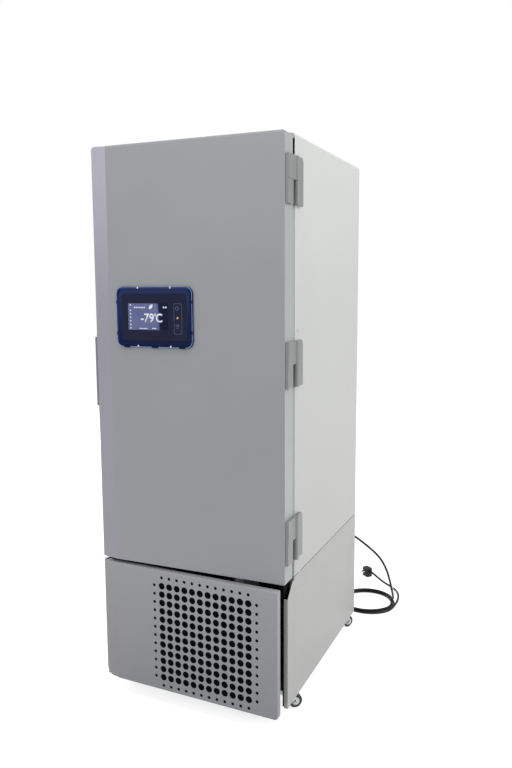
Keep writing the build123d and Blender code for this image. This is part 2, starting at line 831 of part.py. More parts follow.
# Grille panel: a perforated tray hinged at its left end, which rests a little ajar
grille_wall = 2
grille_edge = 3
grille_radii = (grille_edge, grille_foot_radius, grille_far_radius, grille_edge)
grille_hinge_x = left + hinge_edge
grille_hinge_depth = grille_depth - hinge_edge
grille_hinge = Axis((grille_hinge_x, at(grille_hinge_depth), 0), (0, 0, 1))
cover_across = (left, right - cover_inset)
cover_high = (grille_foot, grille_head)
grille_outside = bevelled_block(cover_across, (0, grille_depth), cover_high, 0, grille_radii)
grille_inside = bevelled_block(
    cover_across, (0, grille_depth + 2 * grille_wall), cover_high, grille_wall, grille_radii
)
hole_span = (hole_count - 1) * hole_pitch
ring_span = (hole_count + 1) * hole_pitch
hole_middle = (left + first_hole_across + hole_span / 2, grille_head - first_hole_drop - hole_span / 2)
with BuildPart() as grille_panel:
    add(grille_outside)
    add(grille_inside, mode=Mode.SUBTRACT)
    with BuildSketch(front_plane(-overrun)) as holes:
        with Locations(hole_middle):
            with GridLocations(hole_pitch, hole_pitch, hole_count, hole_count):
                RegularPolygon(hole_size / 2, hole_sides)
            with GridLocations(hole_pitch, ring_span, hole_count, 2):
                RegularPolygon(small_hole_size / 2, small_hole_sides)
            with GridLocations(ring_span, hole_pitch, 2, hole_count):
                RegularPolygon(small_hole_size / 2, small_hole_sides)
    extrude(holes.sketch, amount=-2 * overrun - grille_wall, mode=Mode.SUBTRACT)
    for low, high in (
        (grille_foot, grille_foot + grille_foot_radius),
        (grille_head - grille_pin_length, grille_head + overrun),
    ):
        post(grille_hinge_x, grille_hinge_depth, grille_pin_radius + run_gap, (low, high), Mode.SUBTRACT)
    add(grille_panel.part.rotate(grille_hinge, -ajar_angle), mode=Mode.REPLACE)
save(grille_panel, "grille_panel")

# Air filter: a washable pad that lies against the back of the perforated face
filter_half = ring_span / 2 + filter_margin
with BuildPart() as air_filter:
    fill(
        (hole_middle[0] - filter_half, hole_middle[0] + filter_half),
        (grille_wall + seat_gap, grille_wall + filter_depth),
        (grille_foot + grille_wall + grille_edge, grille_head - grille_wall - grille_edge),
    )
    add(air_filter.part.rotate(grille_hinge, -ajar_angle), mode=Mode.REPLACE)
save(air_filter, "air_filter")

# Cheeks beside the machine bay's mouth, clear of the panel's corner as it swings past
cheek_front = grille_hinge_depth + hinge_edge * sqrt(2) + seat_gap
cheek_head = grille_head + seat_gap
with BuildPart() as grille_cheeks:
    fill((right - cheek_return, right), (cheek_front, flange_depth), (base_bottom, cheek_head))
    fill(
        (right - cheek_return - overrun, right - sheet),
        (cheek_front + sheet, flange_depth + overrun),
        (base_bottom - overrun, cheek_head + overrun),
        mode=Mode.SUBTRACT,
    )
    with BuildSketch(side_plane(right - 2 * cheek_return)) as corner:
        Polygon(
            (at(cheek_front) - overrun, cheek_head - cheek_corner),
            (at(cheek_front), cheek_head - cheek_corner),
            (at(cheek_front + cheek_corner), cheek_head),
            (at(cheek_front + cheek_corner), cheek_head + overrun),
            (at(cheek_front) - overrun, cheek_head + overrun),
            align=None,
        )
    extrude(corner.sketch, amount=3 * cheek_return, mode=Mode.SUBTRACT)
    fill((left, left + cheek_return), (cheek_front, flange_depth), (base_bottom, cheek_head))
    fill(
        (left + sheet, left + cheek_return + overrun),
        (cheek_front + sheet, flange_depth + overrun),
        (base_bottom - overrun, cheek_head + overrun),
        mode=Mode.SUBTRACT,
    )
save(grille_cheeks, "grille_cheeks")

# Brackets above and below the grille panel, with the pins that it turns on
bracket_rear = (grille_depth + flange_depth) / 2
bracket_width = 2 * hinge_edge
corner_rise = grille_foot_radius - sqrt(grille_foot_radius**2 - (grille_foot_radius - bracket_width) ** 2)
low_bracket = grille_foot + corner_rise - seat_gap - plate
bracket_pins = (
    (cheek_head, grille_head - grille_pin_length, cheek_head + plate),
    (low_bracket, low_bracket, grille_foot + grille_foot_radius),
)
with BuildPart() as grille_hinge_brackets:
    for low, pin_low, pin_high in bracket_pins:
        fill((left, left + bracket_width), (grille_hinge_depth, bracket_rear), (low, low + plate))
        post(grille_hinge_x, grille_hinge_depth, hinge_edge, (low, low + plate))
        post(grille_hinge_x, grille_hinge_depth, grille_pin_radius, (pin_low, pin_high))
    fill(
        (left, left + bracket_width),
        (cheek_front + bracket_width, bracket_rear),
        (low_bracket, base_bottom),
    )
save(grille_hinge_brackets, "grille_hinge_brackets")

# Condenser: a finned block between two end plates, with return bends on its right
coil_half = 240
condenser_front = 128
condenser_depth = 44
condenser_height = 330
condenser_lift = 14
end_plate_margin = 6
fin_pitch = 24
fin_gap = 12
fin_cut = 7
fin_count = 19
bend_count = 3
bend_radius = 14
pipe_radius = 5
pipe_sides = 6


def pipe(path, radius=pipe_radius):
    """A copper pipe of a few flat sides, swept along a path."""
    with BuildSketch(Plane(origin=path @ 0, z_dir=path % 0)) as section:
        RegularPolygon(radius, pipe_sides)
    sweep(section.sketch, path=path)


condenser_rear = condenser_front + condenser_depth
condenser_head = base_top + condenser_height
with BuildPart() as condenser_coil:
    fill(
        (middle - coil_half, middle + coil_half),
        (condenser_front, condenser_rear),
        (base_top + condenser_lift, condenser_head),
    )
    with BuildSketch(front_plane(condenser_front - overrun)) as gaps:
        with Locations((middle, base_top + condenser_height / 2)):
            with GridLocations(fin_pitch, fin_pitch, fin_count, 1):
                Rectangle(fin_gap, condenser_height + condenser_lift)
    extrude(gaps.sketch, amount=-fin_cut - overrun, mode=Mode.SUBTRACT)
    for side in (-1, 1):
        outer = middle + side * (coil_half + plate)
        inner = middle + side * coil_half
        fill(
            (min(outer, inner), max(outer, inner)),
            (condenser_front - end_plate_margin, condenser_rear + end_plate_margin),
            (base_top, condenser_head + end_plate_margin),
        )
    for step in range(bend_count):
        bend_level = base_top + condenser_height * (step + 1) / (bend_count + 1)
        bend_plane = Plane(
            (middle + coil_half + plate, at(condenser_front + condenser_depth / 2), bend_level),
            x_dir=(1, 0, 0),
            z_dir=(0, -1, 0),
        )
        with BuildLine(bend_plane) as bend:
            CenterArc((0, 0), bend_radius, -90, 180)
        pipe(bend.line)
save(condenser_coil, "condenser_coil")

# Fan shroud, motor and rotor behind the condenser
shroud_front = condenser_rear + end_plate_margin
shroud_ring = 126
shroud_reach = 24
fan_radius = 118
fan_level = base_top + condenser_height / 2
shroud_half = 200
motor_radius = 40
motor_length = 56
hub_radius = 28
hub_length = 26
blade_count = 5
blade_root = 34
blade_tip = 78
blade_sweep = 16
blade_corner = 20
blade_tilt = 32
shaft_radius = 5
with BuildPart() as fan_shroud:
    shroud_across = (middle - shroud_half, middle + shroud_half)
    shroud_rear = shroud_front + shroud_reach
    fill(shroud_across, (shroud_front, shroud_front + sheet), (base_top, condenser_head))
    fill(shroud_across, (shroud_front, shroud_rear), (base_top, base_top + sheet))
    rod(middle, fan_level, shroud_ring + sheet, (shroud_front, shroud_rear))
    rod(middle, fan_level, shroud_ring, (shroud_front - overrun, shroud_rear + overrun), Mode.SUBTRACT)
save(fan_shroud, "fan_shroud")

hub_front = shroud_front + shroud_reach / 2
blade_depth = hub_front + hub_length / 2
with BuildPart() as fan_rotor:
    rod(middle, fan_level, hub_radius, (hub_front, hub_front + hub_length))
    for step in range(blade_count):
        turn = 2 * pi * step / blade_count
        tilt = radians(blade_tilt)
        blade_plane = Plane(
            (middle, at(blade_depth), fan_level),
            x_dir=(cos(turn), 0, sin(turn)),
            z_dir=(-sin(turn) * sin(tilt), cos(tilt), cos(turn) * sin(tilt)),
        )
        with BuildSketch(blade_plane) as blade:
            Polygon(
                (2 * shaft_radius, -blade_root / 2),
                (fan_radius - blade_corner, blade_sweep - blade_tip / 2),
                (fan_radius, blade_sweep - blade_tip / 2 + blade_corner),
                (fan_radius - blade_corner / 2, blade_sweep + blade_tip / 2),
                (2 * shaft_radius, blade_root / 2),
                align=None,
            )
        extrude(blade.sketch, amount=sheet / 2, both=True)
    rod(middle, fan_level, shaft_radius + run_gap, (shroud_front, hub_front + 2 * hub_length), Mode.SUBTRACT)
save(fan_rotor, "fan_rotor")

motor_front = hub_front + hub_length + hub_length
bracket_half = 30
motor_rear = motor_front + motor_length + bracket_half
with BuildPart() as fan_motor:
    rod(middle, fan_level, motor_radius, (motor_front, motor_front + motor_length))
    rod(middle, fan_level, shaft_radius, (hub_front + sheet, motor_front))
    fill(
        (middle - bracket_half, middle + bracket_half),
        (motor_front + motor_length, motor_front + motor_length + plate),
        (base_top, fan_level + bracket_half),
    )
    fill(
        (middle - bracket_half, middle + bracket_half),
        (motor_front + motor_length, motor_front + motor_length + bracket_half),
        (base_top, base_top + plate),
    )
save(fan_motor, "fan_motor")

# Two compressors in welded pots, on rubber mounts
pot_radius = 92
pot_height = 250
pot_seam_height = 118
pot_seam_width = 7
pot_foot_taper = 14
pot_dome = 46
pot_dome_width = 40
pot_across = 150
mount_radius = 12
mount_sides = 8
mount_height = 14
mount_across = 84
mount_along = 66
foot_edge = 18
stub_radius = 9
stub_height = 16
pot_foot = base_top + mount_height + plate
pot_middles = (middle - pot_across, middle + pot_across)
exchanger_depth = 130
exchanger_rear_gap = 60
exchanger_deep = (back_depth - exchanger_rear_gap - exchanger_depth, back_depth - exchanger_rear_gap)
pot_depth = (motor_rear + exchanger_deep[0]) / 2
with BuildPart() as compressors:
    for pot_x in pot_middles:
        pot_plane = Plane((pot_x, at(pot_depth), pot_foot), x_dir=(1, 0, 0), z_dir=(0, -1, 0))
        with BuildSketch(pot_plane) as half:
            Polygon(
                (0, 0),
                (pot_radius - pot_foot_taper, 0),
                (pot_radius, pot_foot_taper),
                (pot_radius, pot_seam_height),
                (pot_radius + pot_seam_width, pot_seam_height),
                (pot_radius + pot_seam_width, pot_seam_height + pot_seam_width),
                (pot_radius, pot_seam_height + pot_seam_width),
                (pot_radius, pot_height - pot_dome),
                (pot_radius - pot_dome / 2, pot_height - pot_dome / 3),
                (pot_dome_width, pot_height),
                (0, pot_height),
                align=None,
            )
        revolve(half.sketch, axis=Axis((pot_x, at(pot_depth), 0), (0, 0, 1)))
        stub_high = (pot_foot + pot_height - pot_dome, pot_foot + pot_height + stub_height)
        post(pot_x, pot_depth, stub_radius, stub_high)
        fill(
            (pot_x - mount_across - foot_edge, pot_x + mount_across + foot_edge),
            (pot_depth - mount_along - foot_edge, pot_depth + mount_along + foot_edge),
            (pot_foot - plate, pot_foot),
        )
save(compressors, "compressors")

with BuildPart() as compressor_mounts:
    for pot_x in pot_middles:
        for side in (-1, 1):
            for end in (-1, 1):
                with BuildSketch(level(base_top)) as mount:
                    with Locations((pot_x + side * mount_across, at(pot_depth + end * mount_along))):
                        RegularPolygon(mount_radius, mount_sides)
                extrude(mount.sketch, amount=mount_height)
save(compressor_mounts, "compressor_mounts")

# Interstage heat exchanger in its insulated case, and the electrical box
exchanger_width = 120
exchanger_height = 300
exchanger_radius = 20
exchanger_across = (middle - pot_across - exchanger_width, middle - pot_across)
with BuildPart() as heat_exchanger:
    fill(exchanger_across, exchanger_deep, (base_top, base_top + exchanger_height))
    fillet(heat_exchanger.edges().filter_by(Axis.Z), radius=exchanger_radius)
save(heat_exchanger, "heat_exchanger")

box_width = 170
box_depth = 110
box_height = 330
box_edge = 4
box_side_gap = 20
with BuildPart() as electrical_box:
    fill(
        (right - box_side_gap - box_width - side_flange, right - box_side_gap - side_flange),
        (back_depth - box_side_gap - box_depth, back_depth - box_side_gap),
        (base_top, base_top + box_height),
    )
    chamfer(electrical_box.edges().filter_by(Axis.Y), length=box_edge)
save(electrical_box, "electrical_box")

# Refrigerant lines between the compressors, the condenser, the drier and the heat exchanger
line_high = 484
line_mid = 462
line_low = 440
line_bend = 14
drier_radius = 14
drier_length = 80
pot_top = pot_foot + pot_height + stub_height
condenser_middle = condenser_front + condenser_depth / 2
exchanger_x = (exchanger_across[0] + exchanger_across[1]) / 2
exchanger_middle = (exchanger_deep[0] + exchanger_deep[1]) / 2
port_spread = exchanger_width / 4
line_offset = coil_half / 3


def line_path(points):
    """A pipe's path through places given as x, depth and height."""
    with BuildLine() as path:
        FilletPolyline(*[(x, at(depth), z) for x, depth, z in points], radius=line_bend)
    return path.line


discharge = line_path([
    (pot_middles[0], pot_depth, pot_top),
    (pot_middles[0], pot_depth, line_mid),
    (pot_middles[0], condenser_middle, line_mid),
    (pot_middles[0], condenser_middle, condenser_head),
])
liquid = line_path([
    (middle + line_offset, condenser_middle, condenser_head),
    (middle + line_offset, condenser_middle, line_high),
    (middle + line_offset, exchanger_middle, line_high),
    (exchanger_x + port_spread, exchanger_middle, line_high),
    (exchanger_x + port_spread, exchanger_middle, base_top + exchanger_height),
])
suction = line_path([
    (pot_middles[1], pot_depth, pot_top),
    (pot_middles[1], pot_depth, line_low),
    (pot_middles[1], exchanger_middle + port_spread, line_low),
    (exchanger_x, exchanger_middle + port_spread, line_low),
    (exchanger_x, exchanger_middle + port_spread, base_top + exchanger_height),
])
riser = line_path([
    (exchanger_x - port_spread, exchanger_middle, base_top + exchanger_height),
    (exchanger_x - port_spread, exchanger_middle, line_low),
    (exchanger_x - port_spread, exchanger_middle - exchanger_depth, line_low),
    (exchanger_x - port_spread, exchanger_middle - exchanger_depth, seam_level),
])
with BuildPart() as refrigerant_lines:
    pipe(discharge)
    pipe(liquid)
    pipe(suction)
    pipe(riser)
    drier_middle = (condenser_middle + pot_depth) / 2
    drier_plane = front_plane(drier_middle - drier_length / 2)
    with BuildSketch(drier_plane) as can:
        with Locations((middle + line_offset, line_high)):
            Circle(drier_radius)
    extrude(can.sketch, amount=-drier_length)
save(refrigerant_lines, "refrigerant_lines")

# Rear service panel with louvres, a frame for the power switch and the cord's hole
louvre_columns = 3
louvre_rows = 7
louvre_width = 130
louvre_height = 9
louvre_pitch = 24
louvre_gap = 150
louvre_level = 215
switch_across = 190
switch_half_width = 7
switch_half_height = 11.5
switch_wall = 4
switch_frame_depth = 8
switch_pin_radius = 1.5
rocker_half_width = 6.5
rocker_half_height = 10
rocker_depth = 8.5
rocker_dip = 1.5
rocker_throw = 7
switch_x = middle + switch_across
switch_pivot = back_depth + switch_frame_depth / 2
with BuildPart() as rear_service_panel:
    fill(
        (left + side_flange, right - side_flange),
        (back_depth - sheet, back_depth),
        (base_bottom, seam_level - panel_seam),
    )
    with BuildSketch(front_plane(back_depth - 2 * sheet)) as louvres:
        with Locations((middle, louvre_level)):
            with GridLocations(louvre_gap, louvre_pitch, louvre_columns, louvre_rows):
                Rectangle(louvre_width, louvre_height)
    extrude(louvres.sketch, amount=-3 * sheet, mode=Mode.SUBTRACT)
    fill(
        (switch_x - switch_half_width - switch_wall, switch_x + switch_half_width + switch_wall),
        (back_depth, back_depth + switch_frame_depth),
        (gland_level - switch_half_height - switch_wall, gland_level + switch_half_height + switch_wall),
    )
    fill(
        (switch_x - switch_half_width, switch_x + switch_half_width),
        (back_depth - 2 * sheet, back_depth + 2 * switch_frame_depth),
        (gland_level - switch_half_height, gland_level + switch_half_height),
        mode=Mode.SUBTRACT,
    )
    with BuildSketch(side_plane(switch_x - switch_half_width - switch_wall / 2)) as pin_hole:
        with Locations((at(switch_pivot), gland_level)):
            Circle(switch_pin_radius + run_gap)
    extrude(pin_hole.sketch, amount=2 * switch_half_width + switch_wall, mode=Mode.SUBTRACT)
save(rear_service_panel, "rear_service_panel")

with BuildPart() as power_switch:
    rocker_face = back_depth + sheet + rocker_depth
    with BuildSketch(side_plane(switch_x - rocker_half_width)) as rocker:
        Polygon(
            (at(back_depth + sheet), gland_level - rocker_half_height),
            (at(rocker_face), gland_level - rocker_half_height),
            (at(rocker_face - rocker_dip), gland_level),
            (at(rocker_face), gland_level + rocker_half_height),
            (at(back_depth + sheet), gland_level + rocker_half_height),
            align=None,
        )
    extrude(rocker.sketch, amount=2 * rocker_half_width)
    pin_reach = switch_half_width + switch_wall / 2 - seat_gap
    with BuildSketch(side_plane(switch_x - pin_reach)) as pivot:
        with Locations((at(switch_pivot), gland_level)):
            Circle(switch_pin_radius)
    extrude(pivot.sketch, amount=2 * pin_reach)
    switch_axis = Axis((switch_x, at(switch_pivot), gland_level), (1, 0, 0))
    add(power_switch.part.rotate(switch_axis, rocker_throw), mode=Mode.REPLACE)
save(power_switch, "power_switch")

# Wall bumpers that keep the back of the freezer off the wall
bumper_drop = 170
bumper_side = 90
bumper_foot_half = 26
low_bumper = seam_level + bumper_drop
with BuildPart() as wall_bumpers:
    for x in (left + bumper_side, right - bumper_side):
        for z in (low_bumper, cabinet_top - bumper_drop):
            rod(x, z, bumper_radius, (back_depth - sheet, back_depth + bumper_reach))
            fill(
                (x - bumper_foot_half, x + bumper_foot_half),
                (back_depth - sheet, back_depth + plate),
                (z - bumper_foot_half, z + bumper_foot_half),
            )
save(wall_bumpers, "wall_bumpers")

# Casters: a fixed plate with its stem, a fork that swivels and a wheel that rolls
caster_plate = 4
race_height = 6
fork_crown = 5
head_radius = 8
head_height = 4
fork_half = wheel_width / 2 + sheet
leg_front = 8
leg_rear = 9
leg_toe = 6
tread_taper = 3
head_sides = 6
race_low = base_bottom - caster_plate - race_height
crown_top = race_low - seat_gap
crown_low = crown_top - fork_crown
caster_places = (
    (right - caster_inset, front_caster_depth),
    (left + caster_inset, front_caster_depth),
    (right - caster_inset, rear_caster_depth),
    (left + caster_inset, rear_caster_depth),
)
caster_turns = (37, 118, 53, 74)
with BuildPart() as caster_plates:
    for x, depth in caster_places:
        half = caster_plate_size / 2
        fill((x - half, x + half), (depth - half, depth + half), (base_bottom - caster_plate, base_bottom))
        post(x, depth, race_radius, (race_low, base_bottom - caster_plate))
        post(x, depth, stem_radius, (crown_low - seat_gap, race_low))
        with BuildSketch(level(crown_low - seat_gap)) as head:
            with Locations((x, at(depth))):
                RegularPolygon(head_radius, head_sides)
        extrude(head.sketch, amount=-head_height)
save(caster_plates, "caster_plates")


def caster_fork(place):
    """The fork of one caster, trailing to the right of its stem."""
    x, depth = place
    post(x, depth, race_radius, (crown_low, crown_top))
    for side in (-1, 1):
        across = sorted((side * fork_half, side * (fork_half + fork_wall)))
        with BuildSketch(front_plane(depth + across[0])) as leg:
            Polygon(
                (x - leg_front, crown_top),
                (x + wheel_trail - leg_rear, wheel_radius),
                (x + wheel_trail - leg_rear, wheel_radius - leg_rear + leg_toe / 2),
                (x + wheel_trail - leg_toe / 2, wheel_radius - leg_rear),
                (x + wheel_trail + leg_toe / 2, wheel_radius - leg_rear),
                (x + wheel_trail + leg_rear, wheel_radius - leg_rear + leg_toe / 2),
                (x + wheel_trail + leg_rear, wheel_radius),
                (x + race_radius - leg_rear / 2, crown_top),
                align=None,
            )
        extrude(leg.sketch, amount=-fork_wall)
    axle_half = fork_half + fork_wall
    rod(x + wheel_trail, wheel_radius, axle_radius, (depth - axle_half, depth + axle_half))
    post(x, depth, stem_radius + run_gap, (crown_low - overrun, crown_top + overrun), Mode.SUBTRACT)


def caster_wheel(place):
    """The wheel of one caster, with a tread that tapers at both sides and a bore for the axle."""
    x, depth = place
    deep = (depth - wheel_width / 2, depth + wheel_width / 2)
    rod(x + wheel_trail, wheel_radius, wheel_radius, deep)
    chamfer(edges().filter_by(GeomType.CIRCLE), length=tread_taper)
    bore_deep = (deep[0] - overrun, deep[1] + overrun)
    rod(x + wheel_trail, wheel_radius, axle_radius + run_gap, bore_deep, Mode.SUBTRACT)


def turn_caster(builder, place, turn):
    """Turns a caster's piece about its upright stem, to where it has rolled."""
    stem = Axis((place[0], at(place[1]), 0), (0, 0, 1))
    add(builder.part.rotate(stem, turn), mode=Mode.REPLACE)


with BuildPart() as front_right_fork:
    caster_fork(caster_places[0])
    turn_caster(front_right_fork, caster_places[0], caster_turns[0])
save(front_right_fork, "front_right_fork")

with BuildPart() as front_left_fork:
    caster_fork(caster_places[1])
    turn_caster(front_left_fork, caster_places[1], caster_turns[1])
save(front_left_fork, "front_left_fork")

with BuildPart() as rear_right_fork:
    caster_fork(caster_places[2])
    turn_caster(rear_right_fork, caster_places[2], caster_turns[2])
save(rear_right_fork, "rear_right_fork")

with BuildPart() as rear_left_fork:
    caster_fork(caster_places[3])
    turn_caster(rear_left_fork, caster_places[3], caster_turns[3])
save(rear_left_fork, "rear_left_fork")

with BuildPart() as front_right_wheel:
    caster_wheel(caster_places[0])
    turn_caster(front_right_wheel, caster_places[0], caster_turns[0])
save(front_right_wheel, "front_right_wheel")

with BuildPart() as front_left_wheel:
    caster_wheel(caster_places[1])
    turn_caster(front_left_wheel, caster_places[1], caster_turns[1])
save(front_left_wheel, "front_left_wheel")

with BuildPart() as rear_right_wheel:
    caster_wheel(caster_places[2])
    turn_caster(rear_right_wheel, caster_places[2], caster_turns[2])
save(rear_right_wheel, "rear_right_wheel")

with BuildPart() as rear_left_wheel:
    caster_wheel(caster_places[3])
    turn_caster(rear_left_wheel, caster_places[3], caster_turns[3])
save(rear_left_wheel, "rear_left_wheel")

# Cord gland: a flange and a tapered strain relief on the rear service panel
gland_flange = 16
gland_root = 12
gland_tip = 6.5
gland_length = 34
gland_x = middle + gland_across
gland_end = back_depth + plate + gland_length
with BuildPart() as cord_gland:
    rod(gland_x, gland_level, gland_flange, (back_depth, back_depth + plate))
    with BuildSketch(front_plane(back_depth + plate)) as root:
        with Locations((gland_x, gland_level)):
            Circle(gland_root)
    with BuildSketch(front_plane(gland_end)) as tip:
        with Locations((gland_x, gland_level)):
            Circle(gland_tip)
    loft([root.sketch.faces()[0], tip.sketch.faces()[0]])
save(cord_gland, "cord_gland")

# Mains cord, as x from the cabinet's middle, depth and height: the lead down to the coil on the
# floor, and the tail from the coil to the plug
lead_route = [
    (gland_across, gland_end, gland_level),
    (298, 955, 403),
    (328, 996, 380),
    (377, 1022, 336),
    (424, 1043, 279),
    (458, 1062, 213),
    (478, 1079, 145),
    (484, 1101, 84),
    (478, 1138, 38),
    (460, 1182, 10),
]
tail_route = [
    (479, 1168, 9),
    (480, 1216, 8),
    (471, 1265, 8),
    (450, 1309, 8),
    (416, 1346, 8),
    (372, 1377, 9),
    (328, 1411, 12),
    (283, 1446, 15),
]
coil_across = 350
coil_depth = 1135
coil_x = middle + coil_across
bend_share = 0.45


def cord_path(route):
    """A path of straight runs joined by arcs as large as each pair of runs allows."""
    points = [Vector(middle + x, at(depth), z) for x, depth, z in route]
    radii = []
    for before, here, after in zip(points, points[1:], points[2:]):
        run_in, run_out = here - before, after - here
        half_turn = radians(run_in.get_angle(run_out)) / 2
        radii.append(bend_share * min(run_in.length, run_out.length) / tan(half_turn))
    print("cord radii", [round(radius) for radius in radii])
    with BuildLine() as path:
        FilletPolyline(*points, radius=radii)
    print("cord length", round(sum(edge.length for edge in path.edges())))
    return path.line


with BuildPart() as mains_cord:
    for route in (lead_route, tail_route):
        cord_line = cord_path(route)
        with BuildSketch(Plane(origin=cord_line @ 0, z_dir=cord_line % 0)) as section:
            RegularPolygon(cord_diameter / 2, cord_sides)
        sweep(section.sketch, path=cord_line)
    print("cord volume over section", round(mains_cord.part.volume / section.sketch.area))
save(mains_cord, "mains_cord")

# The coil on the floor, as the outer shape of its turns
coil_corner = 5
with BuildPart() as cord_coil:
    coil_plane = Plane((coil_x, at(coil_depth), 0), x_dir=(1, 0, 0), z_dir=(0, -1, 0))
    with BuildSketch(coil_plane) as turns:
        with Locations((coil_radius, coil_height / 2)):
            Rectangle(coil_width, coil_height)
        chamfer(turns.vertices(), length=coil_corner)
    revolve(turns.sketch, axis=Axis((coil_x, at(coil_depth), 0), (0, 0, 1)))
save(cord_coil, "cord_coil")

# The right angled plug at the tail's end, with two blades and a round earth pin
plug_body_length = 46
plug_body_width = 34
plug_body_height = 30
plug_body_radius = 9
blade_length = 18
blade_height = 7
blade_thickness = 1.8
blade_spread = 6
earth_radius = 2.4
earth_drop = 6
tail_end = tail_route[-1]
tail_before = tail_route[-2]
tail_run = Vector(tail_end[0] - tail_before[0], tail_end[1] - tail_before[1], 0).normalized()
plug_plane = Plane(
    (middle + tail_end[0], at(tail_end[1]), tail_end[2] - plug_body_height / 2),
    x_dir=(tail_run.X, tail_run.Y, 0),
    z_dir=(0, 0, 1),
)
with BuildPart() as mains_plug:
    with BuildSketch(plug_plane) as body:
        with Locations((plug_body_length / 2, 0)):
            RectangleRounded(plug_body_length, plug_body_width, plug_body_radius)
    extrude(body.sketch, amount=plug_body_height)
    with BuildSketch(plug_plane.offset(plug_body_height - earth_drop - blade_height)) as blades:
        with Locations((plug_body_length / 2, (plug_body_width + blade_length) / 2)):
            with GridLocations(2 * blade_spread, blade_length, 2, 1):
                Rectangle(blade_thickness, blade_length)
    extrude(blades.sketch, amount=blade_height)
    earth_plane = Plane(
        plug_plane.from_local_coords((plug_body_length / 2, plug_body_width / 2, earth_drop)),
        x_dir=plug_plane.x_dir,
        z_dir=plug_plane.y_dir,
    )
    with BuildSketch(earth_plane) as earth:
        Circle(earth_radius)
    extrude(earth.sketch, amount=blade_length)
save(mains_plug, "mains_plug")

# A tie round the tail, on one of its straight runs
tie_wall = 2
tie_width = 7
tie_run = 4
tie_start = tail_route[tie_run - 1]
tie_stop = tail_route[tie_run]
tie_from = Vector(middle + tie_start[0], at(tie_start[1]), tie_start[2])
tie_to = Vector(middle + tie_stop[0], at(tie_stop[1]), tie_stop[2])
tie_plane = Plane(origin=(tie_from + tie_to) / 2, z_dir=tie_to - tie_from)
with BuildPart() as cord_tie:
    with BuildSketch(tie_plane) as band:
        Circle(cord_diameter / 2 + seat_gap + tie_wall)
        Circle(cord_diameter / 2 + seat_gap, mode=Mode.SUBTRACT)
    extrude(band.sketch, amount=tie_width / 2, both=True)
save(cord_tie, "cord_tie")
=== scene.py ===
# %% [markdown]
# # An upright ultra low temperature freezer
# The real one is a tall steel cabinet on casters, with a thick insulated door above and a
# perforated cover over its machine bay below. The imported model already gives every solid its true
# place, so this lesson only dresses it: it loads that model as a fixed frame, and works in metres.

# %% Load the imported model
import math

import bmesh
import bpy
from mathutils import Matrix, Vector
from mathutils.geometry import delaunay_2d_cdt


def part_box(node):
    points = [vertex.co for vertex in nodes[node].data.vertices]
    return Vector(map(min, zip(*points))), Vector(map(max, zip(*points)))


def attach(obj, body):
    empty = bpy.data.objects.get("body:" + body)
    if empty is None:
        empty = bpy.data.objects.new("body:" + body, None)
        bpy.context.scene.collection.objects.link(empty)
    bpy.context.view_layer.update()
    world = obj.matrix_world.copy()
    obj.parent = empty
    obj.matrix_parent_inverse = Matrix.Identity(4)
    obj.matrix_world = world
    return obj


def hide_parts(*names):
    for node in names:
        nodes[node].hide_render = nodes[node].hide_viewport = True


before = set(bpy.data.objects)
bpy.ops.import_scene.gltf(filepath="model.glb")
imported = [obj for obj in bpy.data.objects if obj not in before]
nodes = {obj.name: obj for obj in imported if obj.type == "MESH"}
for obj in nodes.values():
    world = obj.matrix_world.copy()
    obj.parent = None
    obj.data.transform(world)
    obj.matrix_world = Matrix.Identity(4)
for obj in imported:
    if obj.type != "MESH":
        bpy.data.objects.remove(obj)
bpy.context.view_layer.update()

# %% [markdown]
# ## A ruler on the cabinet
# A fitter measures a cabinet from its own edges. So places are given in millimetres across from the
# door's left edge, behind the door's front, and above the floor, and one function turns them into
# points of the scene.

# %% Measure from the door
door_low, door_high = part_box("door_skin")
DOOR_WIDTH = 1000 * (door_high.x - door_low.x)
CABINET_BACK = 870
CORNERS = ("front_left", "front_right", "rear_left", "rear_right")


def place(across, depth, up):
    """The point this many millimetres across, behind the door's front and above the floor."""
    return Vector((door_low.x + across / 1000, door_low.y + depth / 1000, up / 1000))


print("door is", round(DOOR_WIDTH), "mm wide; its head is", round(1000 * door_high.z), "mm up")

# %% [markdown]
# ## The camera
# The viewer stands to the right of the freezer, about chest high and turned a little down and to
# the left. The lens is a plain 35 mm view. The three directions of a camera can be set by an aim
# point, but a level aim can't hold the slight roll, so they are worked out from three angles here.

# %% Stand the camera
def stand(name, data):
    """An object of this name in the scene, which shows the data."""
    thing = bpy.data.objects.new(name, data)
    bpy.context.scene.collection.objects.link(thing)
    return thing


YAW, PITCH, ROLL = -0.4039, 0.1299, -0.0052
ahead = Vector((
    math.sin(YAW) * math.cos(PITCH), math.cos(YAW) * math.cos(PITCH), -math.sin(PITCH)
))
level_right = Vector((math.cos(YAW), -math.sin(YAW), 0))
level_up = level_right.cross(ahead)
view_right = math.cos(ROLL) * level_right + math.sin(ROLL) * level_up
view_up = math.cos(ROLL) * level_up - math.sin(ROLL) * level_right
viewer = stand("viewer", bpy.data.cameras.new("viewer"))
viewer.data.lens = 34.69
viewer.data.sensor_width = 36
viewer.matrix_world = Matrix((view_right, view_up, -ahead)).transposed().to_4x4()
viewer.location = place(1554.35, -2188.71, 1502.5)
bpy.context.scene.camera = viewer
print("camera looks", round(math.degrees(PITCH), 1), "degrees down")

# %% [markdown]
# ## Colours and shader nodes
# Finishes are chosen from colour cards, whose values are sRGB, while a shader wants linear light.
# One function does that. Another adds any shader node with its settings and links in one line, so a
# finish reads as a short recipe.

# %% Colour cards and a node maker
def card(code):
    """A colour card such as #9C9DA0 as linear light."""
    shares = [int(code[at:at + 2], 16) / 255 for at in (1, 3, 5)]
    return tuple(s / 12.92 if s <= 0.04045 else ((s + 0.055) / 1.055) ** 2.4 for s in shares) + (1,)


